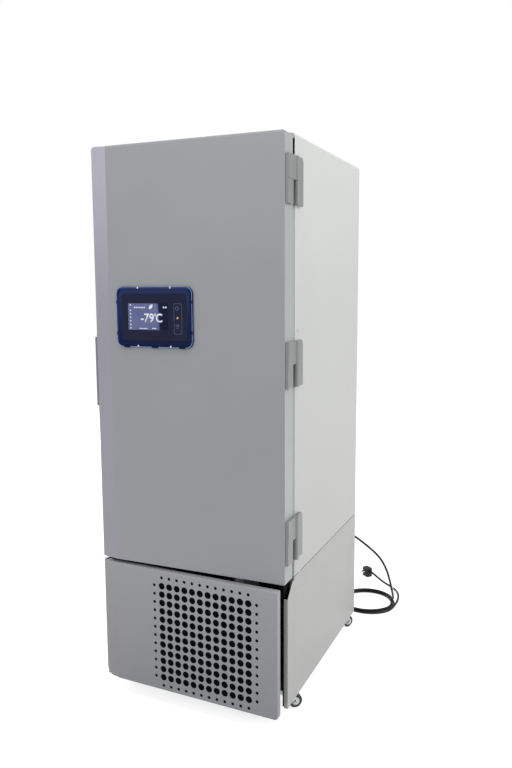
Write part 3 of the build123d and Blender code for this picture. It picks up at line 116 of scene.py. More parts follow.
def add_node(tree, kind, settings=None, inputs=None):
    """Adds a node, sets its properties, and gives each input a value or a link."""
    made = tree.nodes.new("ShaderNode" + kind)
    for name, value in (settings or {}).items():
        setattr(made, name, value)
    for name, value in (inputs or {}).items():
        if isinstance(value, bpy.types.NodeSocket):
            tree.links.new(value, made.inputs[name])
        else:
            made.inputs[name].default_value = value
    return made


print("mid grey card is", round(card("#808080")[0], 3), "in linear light")

# %% [markdown]
# ## A finish and its grain
# Every finish starts from one Principled shader with plain numbers on its sockets. Its detail is
# worked out on object coordinates, which are metres on this model, so a grain has its true size
# and stays put when a door swings. Most finishes are mottled: one grain moves their colour and
# roughness a little, and another one raises their surface.

# %% Start a finish
finishes = {}


def start_finish(name, colour, roughness, **numbers):
    """A material with its shader set to plain numbers; returns its tree, shader and coordinates."""
    finish = bpy.data.materials.new(name)
    finish.use_nodes = True
    finishes[name] = finish
    tree = finish.node_tree
    shader = tree.nodes["Principled BSDF"]
    shader.inputs["Base Color"].default_value = card(colour)
    shader.inputs["Roughness"].default_value = roughness
    for socket, value in numbers.items():
        shader.inputs[socket.replace("_", " ")].default_value = value
    print("finish:", name)
    return tree, shader, add_node(tree, "TexCoord").outputs["Object"]


def grain(tree, where, size, detail=2.0, finer=(1, 1, 1)):
    """Soft noise with grains this many millimetres across, and so many times finer on an axis."""
    sized = add_node(tree, "Mapping", None, {"Vector": where, "Scale": finer})
    return add_node(
        tree, "TexNoise", None,
        {"Vector": sized.outputs["Vector"], "Scale": 1000 / size, "Detail": detail},
    ).outputs["Fac"]


def shade_between(tree, share, dark, light, **settings):
    """Two tones, each a colour card or a node's colour, mixed by a share from nought to one."""
    mix = add_node(tree, "Mix", {"data_type": "RGBA", **settings}, {"Factor": share})
    for socket, tone in (("A", dark), ("B", light)):
        if isinstance(tone, str):
            mix.inputs[socket].default_value = card(tone)
        else:
            tree.links.new(tone, mix.inputs[socket])
    return mix.outputs["Result"]


def between(tree, value, low, high, out_low=0.0, out_high=1.0, smooth=False):
    """A value carried from one range to another."""
    settings = {"interpolation_type": "SMOOTHSTEP" if smooth else "LINEAR"}
    return add_node(tree, "MapRange", settings, {
        "Value": value, "From Min": low, "From Max": high, "To Min": out_low, "To Max": out_high,
    }).outputs["Result"]


def axis(tree, where, letter):
    """One of the three coordinates."""
    return add_node(tree, "SeparateXYZ", None, {"Vector": where}).outputs[letter]


def past(tree, where, low, high, *ends):
    """Nought left of one place across the door, one right of the next, or the other ends given."""
    return between(tree, axis(tree, where, "X"), place(low, 0, 0).x, place(high, 0, 0).x, *ends)


# %% Finish a finish
def settle(tree, shader, tone, share, shine, height, depth, span=(0.3, 0.7)):
    """Links the colour, the roughness as it follows a share, and a relief this many mm high."""
    tree.links.new(tone, shader.inputs["Base Color"])
    tree.links.new(between(tree, share, *span, *shine), shader.inputs["Roughness"])
    bump = add_node(
        tree, "Bump", None, {"Height": height, "Strength": 1.0, "Distance": depth / 1000}
    )
    tree.links.new(bump.outputs["Normal"], shader.inputs["Normal"])


def mottled(name, colour, roughness, mottle, tones, shine, relief, **numbers):
    """A whole finish: its grain, its two tones, its range of roughness, and its relief.

    The relief is a grain of its own and a height, or the height alone on the finish's grain."""
    tree, shader, where = start_finish(name, colour, roughness, **numbers)
    share = grain(tree, where, *mottle)
    *size, depth = relief
    height = grain(tree, where, *size) if size else share
    settle(tree, shader, shade_between(tree, share, *tones), share, shine, height, depth)


print("finish makers ready")

# %% [markdown]
# ## The mains cord
# A rubber cord leaves a tapered relief low on the back, drops in one easy curve beside the cabinet,
# and lies on the floor: its spare length in a coil behind the freezer, then a tail with the plug.
# It is one curve through the same points as its solid. A spline of order three gives the smooth
# bend of rubber, where arcs joined to straight runs would look like bent wire.

# %% Black rubber jacket
# Moulded synthetic rubber: dark, even and softly shining, with a faint matt bloom from handling.
# The real mould grain is under 0.2 mm, drawn at 1.5 mm so that it shows at all.
mottled(
    "cord_rubber_jacket", "#0D0E0F", 0.46, (9, 3), ("#090A0B", "#131416"), (0.36, 0.5),
    (1.5, 2, 0.05), IOR=1.52, Specular_IOR_Level=0.35,
)

# %% Route of the cord, in millimetres across from the cabinet's middle, behind the door and up
CORD_MIDDLE = DOOR_WIDTH / 2
CORD_THICK = 10
COIL_CENTRE = (350, 1135)
RELIEF_ACROSS, RELIEF_UP = 295, 405
lead_route = [
    (295, 907, 405), (298, 952, 400), (327, 994, 368), (374, 1022, 323), (423, 1043, 275),
    (453, 1062, 217), (469, 1079, 151), (476, 1101, 87), (475, 1138, 43), (460, 1182, 19),
]
tail_route = [
    (483, 1169, 6), (481, 1216, 6), (471, 1265, 8), (450, 1309, 8), (416, 1346, 8),
    (372, 1377, 11), (334, 1406.3, 20), (301, 1432, 28.6), (283, 1446, 29),
]
print("route has", len(lead_route) + len(tail_route), "points beside its coil")

# %% [markdown]
# ### Turns of the coil
# Two turns lie side by side on the floor and one lies in the groove between them. Each turn shifts
# outward in the last quarter before the next begins, as a cord does when it is wound by hand, so
# no turn passes through another. The turns are more points of the same curve, every 20 degrees.

# %% Wind the coil
turn_keys = (0, 30, 60, 250, 290, 320, 340, 360)
turn_slots = (
    ((119, 22), (120.5, 15.5), (123.3, 14), (123.3, 14),
     (122, 15), (118.5, 13), (115.5, 8.5), (115, 5.2)),
    ((115, 5.2), (115.5, 5.2), (118, 5.2), (118, 5.2),
     (122, 5.2), (125, 5.2), (125, 5.2), (125, 5.2)),
    ((125, 5.2), (125.7, 5.2), (128.8, 5.2), (128.8, 5.2),
     (132.3, 5.2), (135, 5.2), (135, 5.2), (135, 5.2)),
)


def slot_at(slots, angle):
    """Radius and height of a turn at this angle, between its key places."""
    for index in range(len(turn_keys) - 1):
        if angle <= turn_keys[index + 1]:
            share = (angle - turn_keys[index]) / (turn_keys[index + 1] - turn_keys[index])
            one, two = slots[index], slots[index + 1]
            return (one[0] + share * (two[0] - one[0]), one[1] + share * (two[1] - one[1]))
    return slots[-1]


coil_route = []
for turn, slots in enumerate(turn_slots):
    for angle in range(40 if turn == 0 else 0, 360, 20):
        radius, height = slot_at(slots, angle)
        turned = math.radians(angle)
        coil_route.append((
            COIL_CENTRE[0] + radius * math.cos(turned),
            COIL_CENTRE[1] + radius * math.sin(turned),
            height,
        ))
print("coil has", len(coil_route), "points in three turns")

# %% [markdown]
# ### One curve from relief to plug
# The curve carries its own thickness, so the jacket stays round in every bend. The order and the
# end points are set once all points are there, because an earlier setting is cut down to straight
# runs.

# %% Lay the cord
cord_curve = bpy.data.curves.new("mains_lead", "CURVE")
cord_curve.dimensions = "3D"
cord_curve.bevel_depth = CORD_THICK / 2000
cord_curve.bevel_resolution = 4
cord_curve.use_fill_caps = True
cord_points = [place(CORD_MIDDLE + x, d, z) for x, d, z in lead_route + coil_route + tail_route]
cord_spline = cord_curve.splines.new("NURBS")
cord_spline.points.add(len(cord_points) - 1)
for point, spot in zip(cord_spline.points, cord_points):
    point.co = (*spot, 1)
cord_spline.order_u = 3
cord_spline.use_endpoint_u = True
cord_spline.resolution_u = 5
cord = stand("mains_lead", cord_curve)
cord.data.materials.append(finishes["cord_rubber_jacket"])
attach(cord, "cabinet")
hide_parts("mains_cord", "cord_coil")
print("cord laid through", len(cord_points), "points")

# %% [markdown]
# ## The finishes
# ### Powder coat on the door and the grille cover
# Polyester powder is sprayed dry on the steel and baked, so it melts to a satin skin with a faint
# orange peel. The door's colour is a mid silver grey. The sloping strip on the left edge has a
# lighter, slightly violet coat, which a mask on the distance from the left edge keeps in place.
# A painted reflection makes the strip paler towards its top, and painted shade darkens the
# whole coat towards the floor.

# %% Silver grey powder coat
STRIP_WIDTH = 64
tree, shader, where = start_finish("door_powder_coat", "#999A9D", 0.42, IOR=1.5)
up = axis(tree, where, "Z")
cloud = grain(tree, where, 260, 2)
face_tone = shade_between(tree, cloud, "#95979B", "#9EA0A4")
low_strip = shade_between(tree, between(tree, up, 0.51, 0.53), "#9C9C9F", "#9D9BA5")
# Painted reflection: the strip fades to a paler violet grey towards its top.
strip_tone_with_painted_reflection = shade_between(tree, between(tree, up, 1.35, 1.95, smooth=True), low_strip, "#B6B4C1")
beyond_strip = past(tree, where, STRIP_WIDTH - 1, STRIP_WIDTH + 1)
front_tone = shade_between(tree, beyond_strip, strip_tone_with_painted_reflection, face_tone)
at_side = past(tree, where, DOOR_WIDTH - 0.6, DOOR_WIDTH - 0.2)
sided = shade_between(tree, at_side, front_tone, "#A6ACAB")
# Painted shade: the whole coat darkens towards the floor.
near_floor = between(tree, up, 0.06, 0.5, 1.0, 0.0)
tone_with_floor_shade = shade_between(tree, near_floor, sided, "#E6E6E6", blend_type="MULTIPLY")
# Real orange peel is about 1 mm wide; it is drawn at 5 mm, where a close view can show it.
settle(tree, shader, tone_with_floor_shade, cloud, (0.38, 0.47), grain(tree, where, 5, 1), 0.02)

# %% [markdown]
# ### Powder coat on the cabinet
# The cabinet's wrapper and side covers have the same coat in a warm off-white. Painted shade makes
# the colour fall off slightly from the top towards the floor.

# %% Off-white powder coat
tree, shader, where = start_finish("cabinet_powder_coat", "#CDCFCD", 0.44, IOR=1.5)
up = axis(tree, where, "Z")
cloud = grain(tree, where, 300, 3)
high_tone = shade_between(tree, cloud, "#CDCFCD", "#D4D6D4")
low_tone = shade_between(tree, cloud, "#B4B5B3", "#BCBDBB")
# Painted shade: the walls darken from their top down towards the floor.
wall_tone_with_painted_shade = shade_between(tree, between(tree, up, 0.5, 1.95), low_tone, high_tone)
covered = shade_between(tree, between(tree, up, 0.519, 0.5202), "#ABACAA", wall_tone_with_painted_shade)
settle(tree, shader, covered, cloud, (0.40, 0.48), grain(tree, where, 5, 1), 0.02)

# %% [markdown]
# ### Brushed stainless steel
# The liner, shelves and pilasters are cold rolled and brushed one way. The brush leaves fine lines
# along the sheet, which a strongly stretched noise gives, in the colour and in the bump.

# %% Brushed stainless
# Brush lines are about 0.1 mm apart; they are drawn 1.5 mm apart and 60 mm long.
mottled(
    "brushed_stainless", "#C4C6C8", 0.32, (60, 3, (1, 40, 40)), ("#B6B8BA", "#CDCFD1"),
    (0.26, 0.4), (0.01,), Metallic=1.0, Anisotropic=0.4,
)

# %% [markdown]
# ### Vacuum formed polystyrene
# The opening collar, the door's back and the inner doors are drawn from warm white sheet. It has a
# soft gloss and a slow ripple from the draw.

# %% White polystyrene
tree, shader, where = start_finish("white_polystyrene", "#E4E6E4", 0.36, IOR=1.59)
ripple = grain(tree, where, 120, 2)
sheet_tone = shade_between(tree, ripple, "#DFE1DF", "#E8EAE8")
# The cap over the gasket is painted like the door, so its height has the grey coat's colour.
at_cap = between(tree, axis(tree, where, "Z"), 1.9694, 1.9700)
capped = shade_between(tree, at_cap, sheet_tone, "#A6ACAB")
settle(tree, shader, capped, ripple, (0.32, 0.42), grain(tree, where, 40, 1), 0.06)

# %% [markdown]
# ### Silicone seal
# A door gasket for deep cold is soft grey silicone. It is matt, a little dusty, and has a slight
# translucent bloom, which the sheen gives at grazing angles.

# %% Grey silicone
mottled(
    "grey_silicone", "#2E3131", 0.62, (6, 3), ("#292C2C", "#363939"), (0.55, 0.7),
    (2, 2, 0.05), IOR=1.43, Sheen_Weight=0.15,
)

# %% [markdown]
# ### Painted die casting
# The hinges are zinc castings under a satin coat, grey with a green cast. The casting skin shows
# through as a fine pebble, a little worn and paler where hands and tools touch it.

# %% Satin coat on the castings
mottled(
    "hinge_casting_coat", "#858A88", 0.4, (14, 4), ("#7C8180", "#8C908F"), (0.34, 0.48),
    (3, 2, 0.04), IOR=1.5,
)

# %% [markdown]
# ### Glass filled nylon
# The handle is moulded in dark grey nylon with glass fibre, spark eroded in the mould to a fine
# even grain, so it is matt on the flats and shines a little where a hand polishes it.

# %% Dark grey nylon
mottled(
    "handle_nylon", "#7E8288", 0.5, (45, 2), ("#777B81", "#868A90"), (0.4, 0.56),
    (1.6, 2, 0.05), IOR=1.53,
)

# %% [markdown]
# ### Nickel, zinc and raw sheet
# The lock is nickel plated brass, bright and warm. Caster parts are zinc plated and passivated, a
# little blue and blotchy. Frames and the fan's shroud are hot dip galvanised, whose zinc freezes in
# flat crystals about 8 mm across that a cell texture draws.

# %% Nickel plate
mottled(
    "nickel_plate", "#D0CCC2", 0.2, (7, 3), ("#C6C2B8", "#D8D5CC"), (0.14, 0.3),
    (1.2, 2, 0.01), Metallic=1.0,
)

# %% Zinc plate
mottled(
    "zinc_plate_finish", "#B9BDC2", 0.3, (18, 4), ("#A8ADB4", "#C8CACB"), (0.24, 0.42),
    (2, 3, 0.02), Metallic=1.0,
)

# %% Galvanised sheet
tree, shader, where = start_finish("galvanised_sheet", "#A9ADB0", 0.42, Metallic=0.9)
crystal = add_node(tree, "TexVoronoi", None, {"Vector": where, "Scale": 1000 / 8})
tone = add_node(tree, "SeparateColor", None, {"Color": crystal.outputs["Color"]}).outputs["Red"]
zinc_tone = shade_between(tree, tone, "#9DA1A5", "#B6BABD")
settle(tree, shader, zinc_tone, tone, (0.34, 0.5), grain(tree, where, 30, 2), 0.05, (0, 1))

# %% [markdown]
# ### Navy rim and dark window of the display
# The rim is moulded in navy ABS and polished, so its edges catch the lamps as thin light lines,
# helped by a painted highlight ring on its front edge. Its upper and left sides are painted a
# paler blue, a painted highlight. The window is a sheet of glass printed dark behind, with a
# slight violet cast.

# %% Navy ABS
tree, shader, where = start_finish("navy_abs", "#0C1A44", 0.3, IOR=1.54, Specular_IOR_Level=0.06)
flow = grain(tree, where, 60, 2)
# Painted highlight: the rim's upper and left sides are coloured paler.
upper_rim = between(tree, axis(tree, where, "Z"), 1.494, 1.503)
left_rim = past(tree, where, 99, 107, 1.0, 0.0)
paler = add_node(tree, "Math", {"operation": "MAXIMUM"}, {0: upper_rim, 1: left_rim})
low_tone = shade_between(tree, flow, "#0A143C", "#101F52")
high_tone = shade_between(tree, flow, "#2F3F70", "#3D4D80")
rim_tone_with_painted_highlight = shade_between(tree, paler.outputs["Value"], low_tone, high_tone)
settle(tree, shader, rim_tone_with_painted_highlight, flow, (0.3, 0.38), grain(tree, where, 12, 1), 0.02)

# %% Printed glass
mottled(
    "printed_window_glass", "#13141F", 0.14, (90, 1), ("#131830", "#1B203E"), (0.06, 0.12),
    (160, 1, 0.05), IOR=1.52, Specular_IOR_Level=0.22,
)

# %% [markdown]
# ### Machine bay finishes
# The compressors have a tough black stoving enamel, the condenser's fins are bare mill aluminium,
# and the lines are drawn copper that has dulled to brown in places. The fan is black nylon, and
# the filter an open black foam whose cells are about 2 mm wide.

# %% Black stoving enamel
mottled(
    "black_stoving_enamel", "#1C1D1F", 0.34, (25, 3), ("#17181A", "#26272A"), (0.28, 0.42),
    (4, 2, 0.05), IOR=1.52,
)

# %% Fin stock
# Fins stand about 2 mm apart, drawn every 4 mm so that they show, as upright bands: the dark
# half of each band is painted shade in the gap between fins. A wave texture of scale one repeats
# every 0.314 metres.
tree, shader, where = start_finish("fin_aluminium_stock", "#BFC3C7", 0.38, Metallic=1.0)
bands = add_node(tree, "TexWave", {"bands_direction": "X"}, {
    "Vector": where, "Scale": 0.314 * 1000 / 4, "Distortion": 0.0,
}).outputs["Fac"]
fin_and_gap_shade_tone = shade_between(tree, bands, "#6E7276", "#C9CDD0")
settle(tree, shader, fin_and_gap_shade_tone, bands, (0.5, 0.3), bands, 0.8, (0, 1))

# %% Drawn copper
mottled(
    "drawn_copper", "#B8714F", 0.3, (35, 4), ("#8C4F36", "#C98663"), (0.42, 0.24),
    (3, 2, 0.02), Metallic=1.0,
)

# %% Black nylon
mottled(
    "black_nylon", "#1D1E20", 0.46, (20, 2), ("#191A1C", "#252629"), (0.4, 0.54),
    (2, 2, 0.04), IOR=1.53,
)

# %% Open foam
tree, shader, where = start_finish(
    "open_cell_foam", "#060607", 0.95, IOR=1.45, Specular_IOR_Level=0.05
)
cells = add_node(tree, "TexVoronoi", None, {"Vector": where, "Scale": 1000 / 3}).outputs["Distance"]
foam_tone = shade_between(tree, between(tree, cells, 0, 0.6), "#020203", "#0B0B0D")
settle(tree, shader, foam_tone, cells, (1.0, 0.85), cells, 1.2, (0, 0.6))

# %% [markdown]
# ### Tyres, ties and hidden foam
# Caster tyres are grey-black polyurethane with a scuffed tread. The tie is white nylon. The
# insulation behind the sheets is poured polyurethane foam, yellow and finely pored.

# %% Caster tyre
mottled(
    "caster_tyre", "#232426", 0.55, (6, 4), ("#1C1D1F", "#37383A"), (0.45, 0.7),
    (2, 3, 0.1), IOR=1.5,
)

# %% White nylon
mottled(
    "white_nylon", "#D6D9DA", 0.38, (8, 2), ("#CCD0D2", "#DEE1E2"), (0.32, 0.45),
    (1.5, 1, 0.03), IOR=1.53,
)

# %% Poured foam
mottled(
    "poured_foam", "#D9C08A", 0.9, (4, 4), ("#C9AE76", "#E5CF9E"), (0.82, 0.98), (0.4,), IOR=1.45,
)
print("finishes so far:", len(finishes))

# %% [markdown]
# ## Dress the carried-over solids
# Most solids already have the right shape. Each gets its finish in place of the flat one, and the
# folded sheets and castings also get soft edges: corners are joined, flat faces made whole, and a
# narrow bevel rolls every sharp edge so that it catches the light as a real fold does.

# %% Give a solid its finish and its edges
WELD_REACH, FLAT_WITHIN = 0.00002, math.radians(0.8)
# A flat face with a wide opening would be filled when it is made whole, so these stay as they are.
OPEN_FACED = (
    "cabinet_shell", "door_skin", "rear_service_panel", "right_side_panel", "left_side_panel"
)


def even_shading(thing):
    """Lets wide faces lead the shading, so that flat sheet looks flat up to its rolled edge."""
    even = thing.modifiers.new("even shading", "WEIGHTED_NORMAL")
    even.keep_sharp = True
    return even


def soften(thing, width, angle=28):
    """Rolls every edge sharper than the angle, this many millimetres wide."""
    roll = thing.modifiers.new("rolled edges", "BEVEL")
    roll.width = width / 1000
    roll.segments = 2
    roll.limit_method = "ANGLE"
    roll.angle_limit = math.radians(angle)
    even_shading(thing).weight = 80


def dress(node, finish, edge):
    """Gives a carried-over solid its finish, and rolls its edges if a width is given."""
    thing = nodes[node]
    for held in thing.material_slots:
        held.material = finishes[finish]
    if edge:
        thing.modifiers.new("joined corners", "WELD").merge_threshold = WELD_REACH
        if node not in OPEN_FACED:
            whole = thing.modifiers.new("whole faces", "DECIMATE")
            whole.decimate_type = "DISSOLVE"
            whole.angle_limit = FLAT_WITHIN
        soften(thing, edge)


wardrobe = (
    ("door_powder_coat", 1.6, "door_skin"),
    ("door_powder_coat", 0.6, "grille_panel"),
    ("cabinet_powder_coat", 0.6, "grille_cheeks"),
    ("cabinet_powder_coat", 1.2, "cabinet_shell right_side_panel left_side_panel"),
    ("cabinet_powder_coat", 0.5, "rear_service_panel back_panel"),
    ("brushed_stainless", 0, "inner_liner"),
    ("brushed_stainless", 0.5, "shelves"),
    ("brushed_stainless", 0, "shelf_pilasters shelf_clips"),
    ("white_polystyrene", 0, "opening_collar heat_exchanger"),
    ("white_polystyrene", 1.5, "door_liner inner_door_1 inner_door_2 inner_door_3 inner_door_4"),
    ("grey_silicone", 2.0, "door_gasket"),
    ("hinge_casting_coat", 1.5, "door_hinge_leaves cabinet_hinge_leaves latch_strike"),
    ("hinge_casting_coat", 0.8, "inner_door_hinges grille_hinge_brackets"),
    ("handle_nylon", 1.0, "handle_base handle_lever"),
    ("nickel_plate", 0.3, "lock_cylinder"),
    ("navy_abs", 1.0, "display_bezel"),
    ("printed_window_glass", 0, "display_glass"),
    ("galvanised_sheet", 0.8, "base_frame bay_frame"),
    ("galvanised_sheet", 0, "fan_shroud"),
    ("galvanised_sheet", 1.5, "electrical_box"),
    ("black_stoving_enamel", 0, "compressors"),
    ("fin_aluminium_stock", 0, "condenser_coil"),
    ("drawn_copper", 0, "refrigerant_lines"),
    ("black_nylon", 0, "fan_rotor fan_motor cord_gland"),
    ("black_nylon", 0.5, "power_switch"),
    ("open_cell_foam", 0, "air_filter"),
    ("poured_foam", 0, "cabinet_foam door_core"),
    ("caster_tyre", 0, "compressor_mounts wall_bumpers"),
    ("caster_tyre", 0, " ".join(corner + "_wheel" for corner in CORNERS)),
    ("zinc_plate_finish", 0.3, " ".join(corner + "_fork" for corner in CORNERS)),
    ("zinc_plate_finish", 0, "caster_plates"),
    ("cord_rubber_jacket", 1.2, "mains_plug"),
    ("white_nylon", 0, "cord_tie probe_port"),
)
dressed = set()
for finish, edge, names in wardrobe:
    for node in names.split():
        dress(node, finish, edge)
        dressed.add(node)
print("dressed", len(dressed), "solids, left over:", sorted(set(nodes) - dressed))

# %% [markdown]
# ## Making pieces in mesh code
# Small fittings are too fine for the solids, so they are built here. Three shapes cover nearly all
# of them: a slab cut from plate, an outline pressed to a thickness, and a turned part such as a
# screw head. Each is made in millimetres on the same ruler, and like parts share one mesh.

# %% Turn a mesh into a piece
def piece(name, mesh, finish, body, edge=0.0, angle=28):
    """Makes a finished object that rides on a body, with its sharp edges rolled if asked."""
    bmesh.ops.recalc_face_normals(mesh, faces=mesh.faces)
    data = bpy.data.meshes.new(name)
    mesh.to_mesh(data)
    mesh.free()
    made = stand(name, data)
    data.materials.append(finishes[finish])
    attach(made, body)
    if edge:
        soften(made, edge, angle)
    return made


# %% Slabs and pressed outlines
def press(mesh, outline, front, back, point=place):
    """A plate of this outline, in across and up, between two depths."""
    near = [mesh.verts.new(point(across, front, up)) for across, up in outline]
    far = [mesh.verts.new(point(across, back, up)) for across, up in outline]
    mesh.faces.new(near)
    mesh.faces.new(far[::-1])
    for index in range(len(outline)):
        after = (index + 1) % len(outline)
        mesh.faces.new((near[index], far[index], far[after], near[after]))


def slab(mesh, across, depth, up):
    """A block between two measures on each of the three axes."""
    outline = ((across[0], up[0]), (across[1], up[0]), (across[1], up[1]), (across[0], up[1]))
    press(mesh, outline, *depth)


def join_loops(mesh, loops):
    """Walls from each loop of points to the next, where all have the same number of points."""
    for one, two in zip(loops, loops[1:]):
        for index in range(len(one)):
            after = (index + 1) % len(one)
            mesh.faces.new((one[index], one[after], two[after], two[index]))


def rounded(across, up, radii, steps=6):
    """Outline of a rectangle with one radius, or one a corner from low left round by low right."""
    corners = radii if isinstance(radii, (tuple, list)) else [radii] * 4
    low_left, low_right, high_right, high_left = corners
    outline = []
    for x, z, radius, start in (
        (across[0] + low_left, up[0] + low_left, low_left, 180),
        (across[1] - low_right, up[0] + low_right, low_right, 270),
        (across[1] - high_right, up[1] - high_right, high_right, 0),
        (across[0] + high_left, up[1] - high_left, high_left, 90),
    ):
        for step in range(steps + 1):
            turned = math.radians(start + 90 * step / steps)
            outline.append((x + radius * math.cos(turned), z + radius * math.sin(turned)))
    return outline


# %% Turned parts
def turn(mesh, profile, spot, aim, sides=20):
    """A part turned about an axis: pairs of radius and distance along the aim from the spot."""
    along = Vector(aim).normalized()
    across = along.orthogonal().normalized()
    third = along.cross(across)
    rings = []
    for radius, distance in profile:
        centre = spot + along * distance / 1000
        if radius == 0:
            rings.append([mesh.verts.new(centre)])
            continue
        turns = [2 * math.pi * side / sides for side in range(sides)]
        rings.append([
            mesh.verts.new(centre + (across * math.cos(t) + third * math.sin(t)) * radius / 1000)
            for t in turns
        ])
    for one, two in zip(rings, rings[1:]):
        for side in range(sides):
            after = (side + 1) % sides
            corners = [one[side % len(one)], one[after % len(one)]]
            corners += [two[after % len(two)], two[side % len(two)]]
            mesh.faces.new(list(dict.fromkeys(corners)))
    for ring in (rings[0], rings[-1]):
        if len(ring) > 1:
            mesh.faces.new(ring)


FRONT, BACK, RIGHT, LEFT, DOWN = (0, -1, 0), (0, 1, 0), (1, 0, 0), (-1, 0, 0), (0, 0, -1)


def pan_head(mesh, spot, aim, radius, height):
    """A screw's domed head with a driver recess, seated 0.2 mm into the sheet below it."""
    turn(mesh, (
        (radius, -0.2), (radius, 0.35 * height), (0.86 * radius, 0.75 * height),
        (0.55 * radius, height), (0.3 * radius, height), (0.26 * radius, 0.45 * height),
        (0, 0.4 * height),
    ), spot, aim, 16)


print("piece makers ready")

# %% [markdown]
# ## The grille cover
# A flat tray of 2 mm steel, punched with a square field of round holes and a ring of small ones,
# then folded back at its four sides. Its left part slopes back like the door's strip. It is drawn
# flat: the rings of the rolled edge, the crease and every hole are the given lines of one
# triangulation, so the sheet is a single mesh. The solid that it replaces has eight-sided holes.

# %% Measures of the cover
COVER_ACROSS, COVER_UP, COVER_DEEP = (0.0, DOOR_WIDTH - 12), (59.0, 509.0), 24.0
STRIP_DROP, SHEET_WALL, AJAR = 11.0, 2.0, math.radians(2.8)
COVER_RADII = (30, 12, 3, 3)
# Each ring of the rolled edge: its inset, its inset from the head, and how far it lies back.
EDGE_ROLL = ((0.0, 0.0, 3.0), (0.3, 1.0, 1.75), (0.9, 3.0, 0.9), (1.75, 5.5, 0.3), (3.0, 9.0, 0.0))
HOLE_COUNT, HOLE_PITCH, HOLE_SIZE, SMALL_HOLE = 12, 31.2, 24.2, 11.0
FIRST_HOLE = (257, COVER_UP[1] - 57)
field_half = (HOLE_COUNT - 1) * HOLE_PITCH / 2
hole_middle = (FIRST_HOLE[0] + field_half, FIRST_HOLE[1] - field_half)
print("cover is", round(COVER_ACROSS[1]), "mm wide with a field of", HOLE_COUNT**2, "holes")


# %% Lines of the flat sheet
def strip_depth(across):
    """How far the sheet lies behind the cover's front plane at this distance from the left edge."""
    return STRIP_DROP * max(0.0, 1 - across / STRIP_WIDTH)


def with_stations(ring, spacing=32.0):
    """The ring with more points on its long runs, one of them where the crease meets it."""
    filled = []
    for index, start in enumerate(ring):
        stop = ring[(index + 1) % len(ring)]
        length = math.dist(start, stop)
        shares = {step / math.ceil(length / spacing) for step in range(math.ceil(length / spacing))}
        if (start[0] - STRIP_WIDTH) * (stop[0] - STRIP_WIDTH) < 0:
            shares.add((STRIP_WIDTH - start[0]) / (stop[0] - start[0]))
        for share in sorted(shares):
            filled.append((
                start[0] + share * (stop[0] - start[0]), start[1] + share * (stop[1] - start[1])
            ))
    return filled


sheet_points, sheet_depths, sheet_lines, hole_rims = [], [], [], []
border_count = 0
for inset, head_inset, roll in EDGE_ROLL:
    ring = with_stations(rounded(
        (COVER_ACROSS[0] + inset, COVER_ACROSS[1] - inset),
        (COVER_UP[0] + inset, COVER_UP[1] - head_inset),
        [max(radius - inset, 0.05) for radius in COVER_RADII], 5,
    ))
    first = len(sheet_points)
    sheet_points += ring
    sheet_depths += [roll + strip_depth(across) for across, _ in ring]
    sheet_lines += [(first + i, first + (i + 1) % len(ring)) for i in range(len(ring))]
    border_count = border_count or len(ring)
at_crease = [index for index, (across, _) in enumerate(ring) if abs(across - STRIP_WIDTH) < 0.001]
sheet_lines.append(tuple(first + index for index in at_crease))
print("edge rings of", border_count, "points each")

# %% Punch the holes
reach = (HOLE_COUNT + 1) / 2
for column in range(HOLE_COUNT + 2):
    for row in range(HOLE_COUNT + 2):
        outer = (column in (0, HOLE_COUNT + 1)) + (row in (0, HOLE_COUNT + 1))
        if outer == 2:
            continue
        middle = (
            hole_middle[0] + (column - reach) * HOLE_PITCH,
            hole_middle[1] + (row - reach) * HOLE_PITCH,
        )
        radius, sides = (SMALL_HOLE / 2, 14) if outer else (HOLE_SIZE / 2, 24)
        hole_rims.append((middle, radius * math.cos(math.pi / sides)))
        for ring_radius, sink in ((radius + 0.7, 0.0), (radius, 0.5)):
            first = len(sheet_points)
            turns = [2 * math.pi * side / sides for side in range(sides)]
            sheet_points += [
                (middle[0] + ring_radius * math.cos(t), middle[1] + ring_radius * math.sin(t))
                for t in turns
            ]
            sheet_depths += [sink] * sides
            sheet_lines += [(first + i, first + (i + 1) % sides) for i in range(sides)]
print("holes:", len(hole_rims))

# %% Triangulate the sheet and leave it ajar
flat, _, flat_faces, came_from, _, _ = delaunay_2d_cdt(
    [Vector(point) for point in sheet_points], sheet_lines, [], 0, 1e-4
)
hinge_across, hinge_depth = 6.0, COVER_DEEP - 6.0


def swing_ajar(across, depth, up):
    """A point of the closed cover, turned about its hinge by the angle at which it rests."""
    x, y = across - hinge_across, depth - hinge_depth
    return place(
        hinge_across + x * math.cos(AJAR) + y * math.sin(AJAR),
        hinge_depth - x * math.sin(AJAR) + y * math.cos(AJAR), up,
    )


cover_mesh = bmesh.new()
cover_verts = []
for point, sources in zip(flat, came_from):
    depth = sheet_depths[sources[0]] if sources else strip_depth(point.x)
    cover_verts.append(cover_mesh.verts.new(swing_ajar(point.x, depth, point.y)))
for corners in flat_faces:
    middle = sum((flat[c] for c in corners), Vector((0, 0))) / len(corners)
    if not any((middle - Vector(rim)).length < apothem for rim, apothem in hole_rims):
        cover_mesh.faces.new([cover_verts[c] for c in corners])
print("sheet has", len(cover_mesh.faces), "faces between its holes")

# %% Fold its sides back and give it its wall
rear_ring = [
    cover_mesh.verts.new(swing_ajar(across, COVER_DEEP, up))
    for across, up in sheet_points[:border_count]
]
source_at = {source: index for index, sources in enumerate(came_from) for source in sources}
for i in range(border_count):
    after = (i + 1) % border_count
    cover_mesh.faces.new((
        cover_verts[source_at[i]], cover_verts[source_at[after]], rear_ring[after], rear_ring[i]
    ))
cover = piece("grille_cover", cover_mesh, "door_powder_coat", "grille")
for face in cover.data.polygons:
    face.use_smooth = True
if cover.data.polygons[0].normal.y > 0:
    cover.data.flip_normals()
wall = cover.modifiers.new("sheet wall", "SOLIDIFY")
wall.thickness = SHEET_WALL / 1000
wall.offset = -1
wall.use_even_offset = True
even_shading(cover)
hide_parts("grille_panel")
print("cover made with a wall of", SHEET_WALL, "mm")
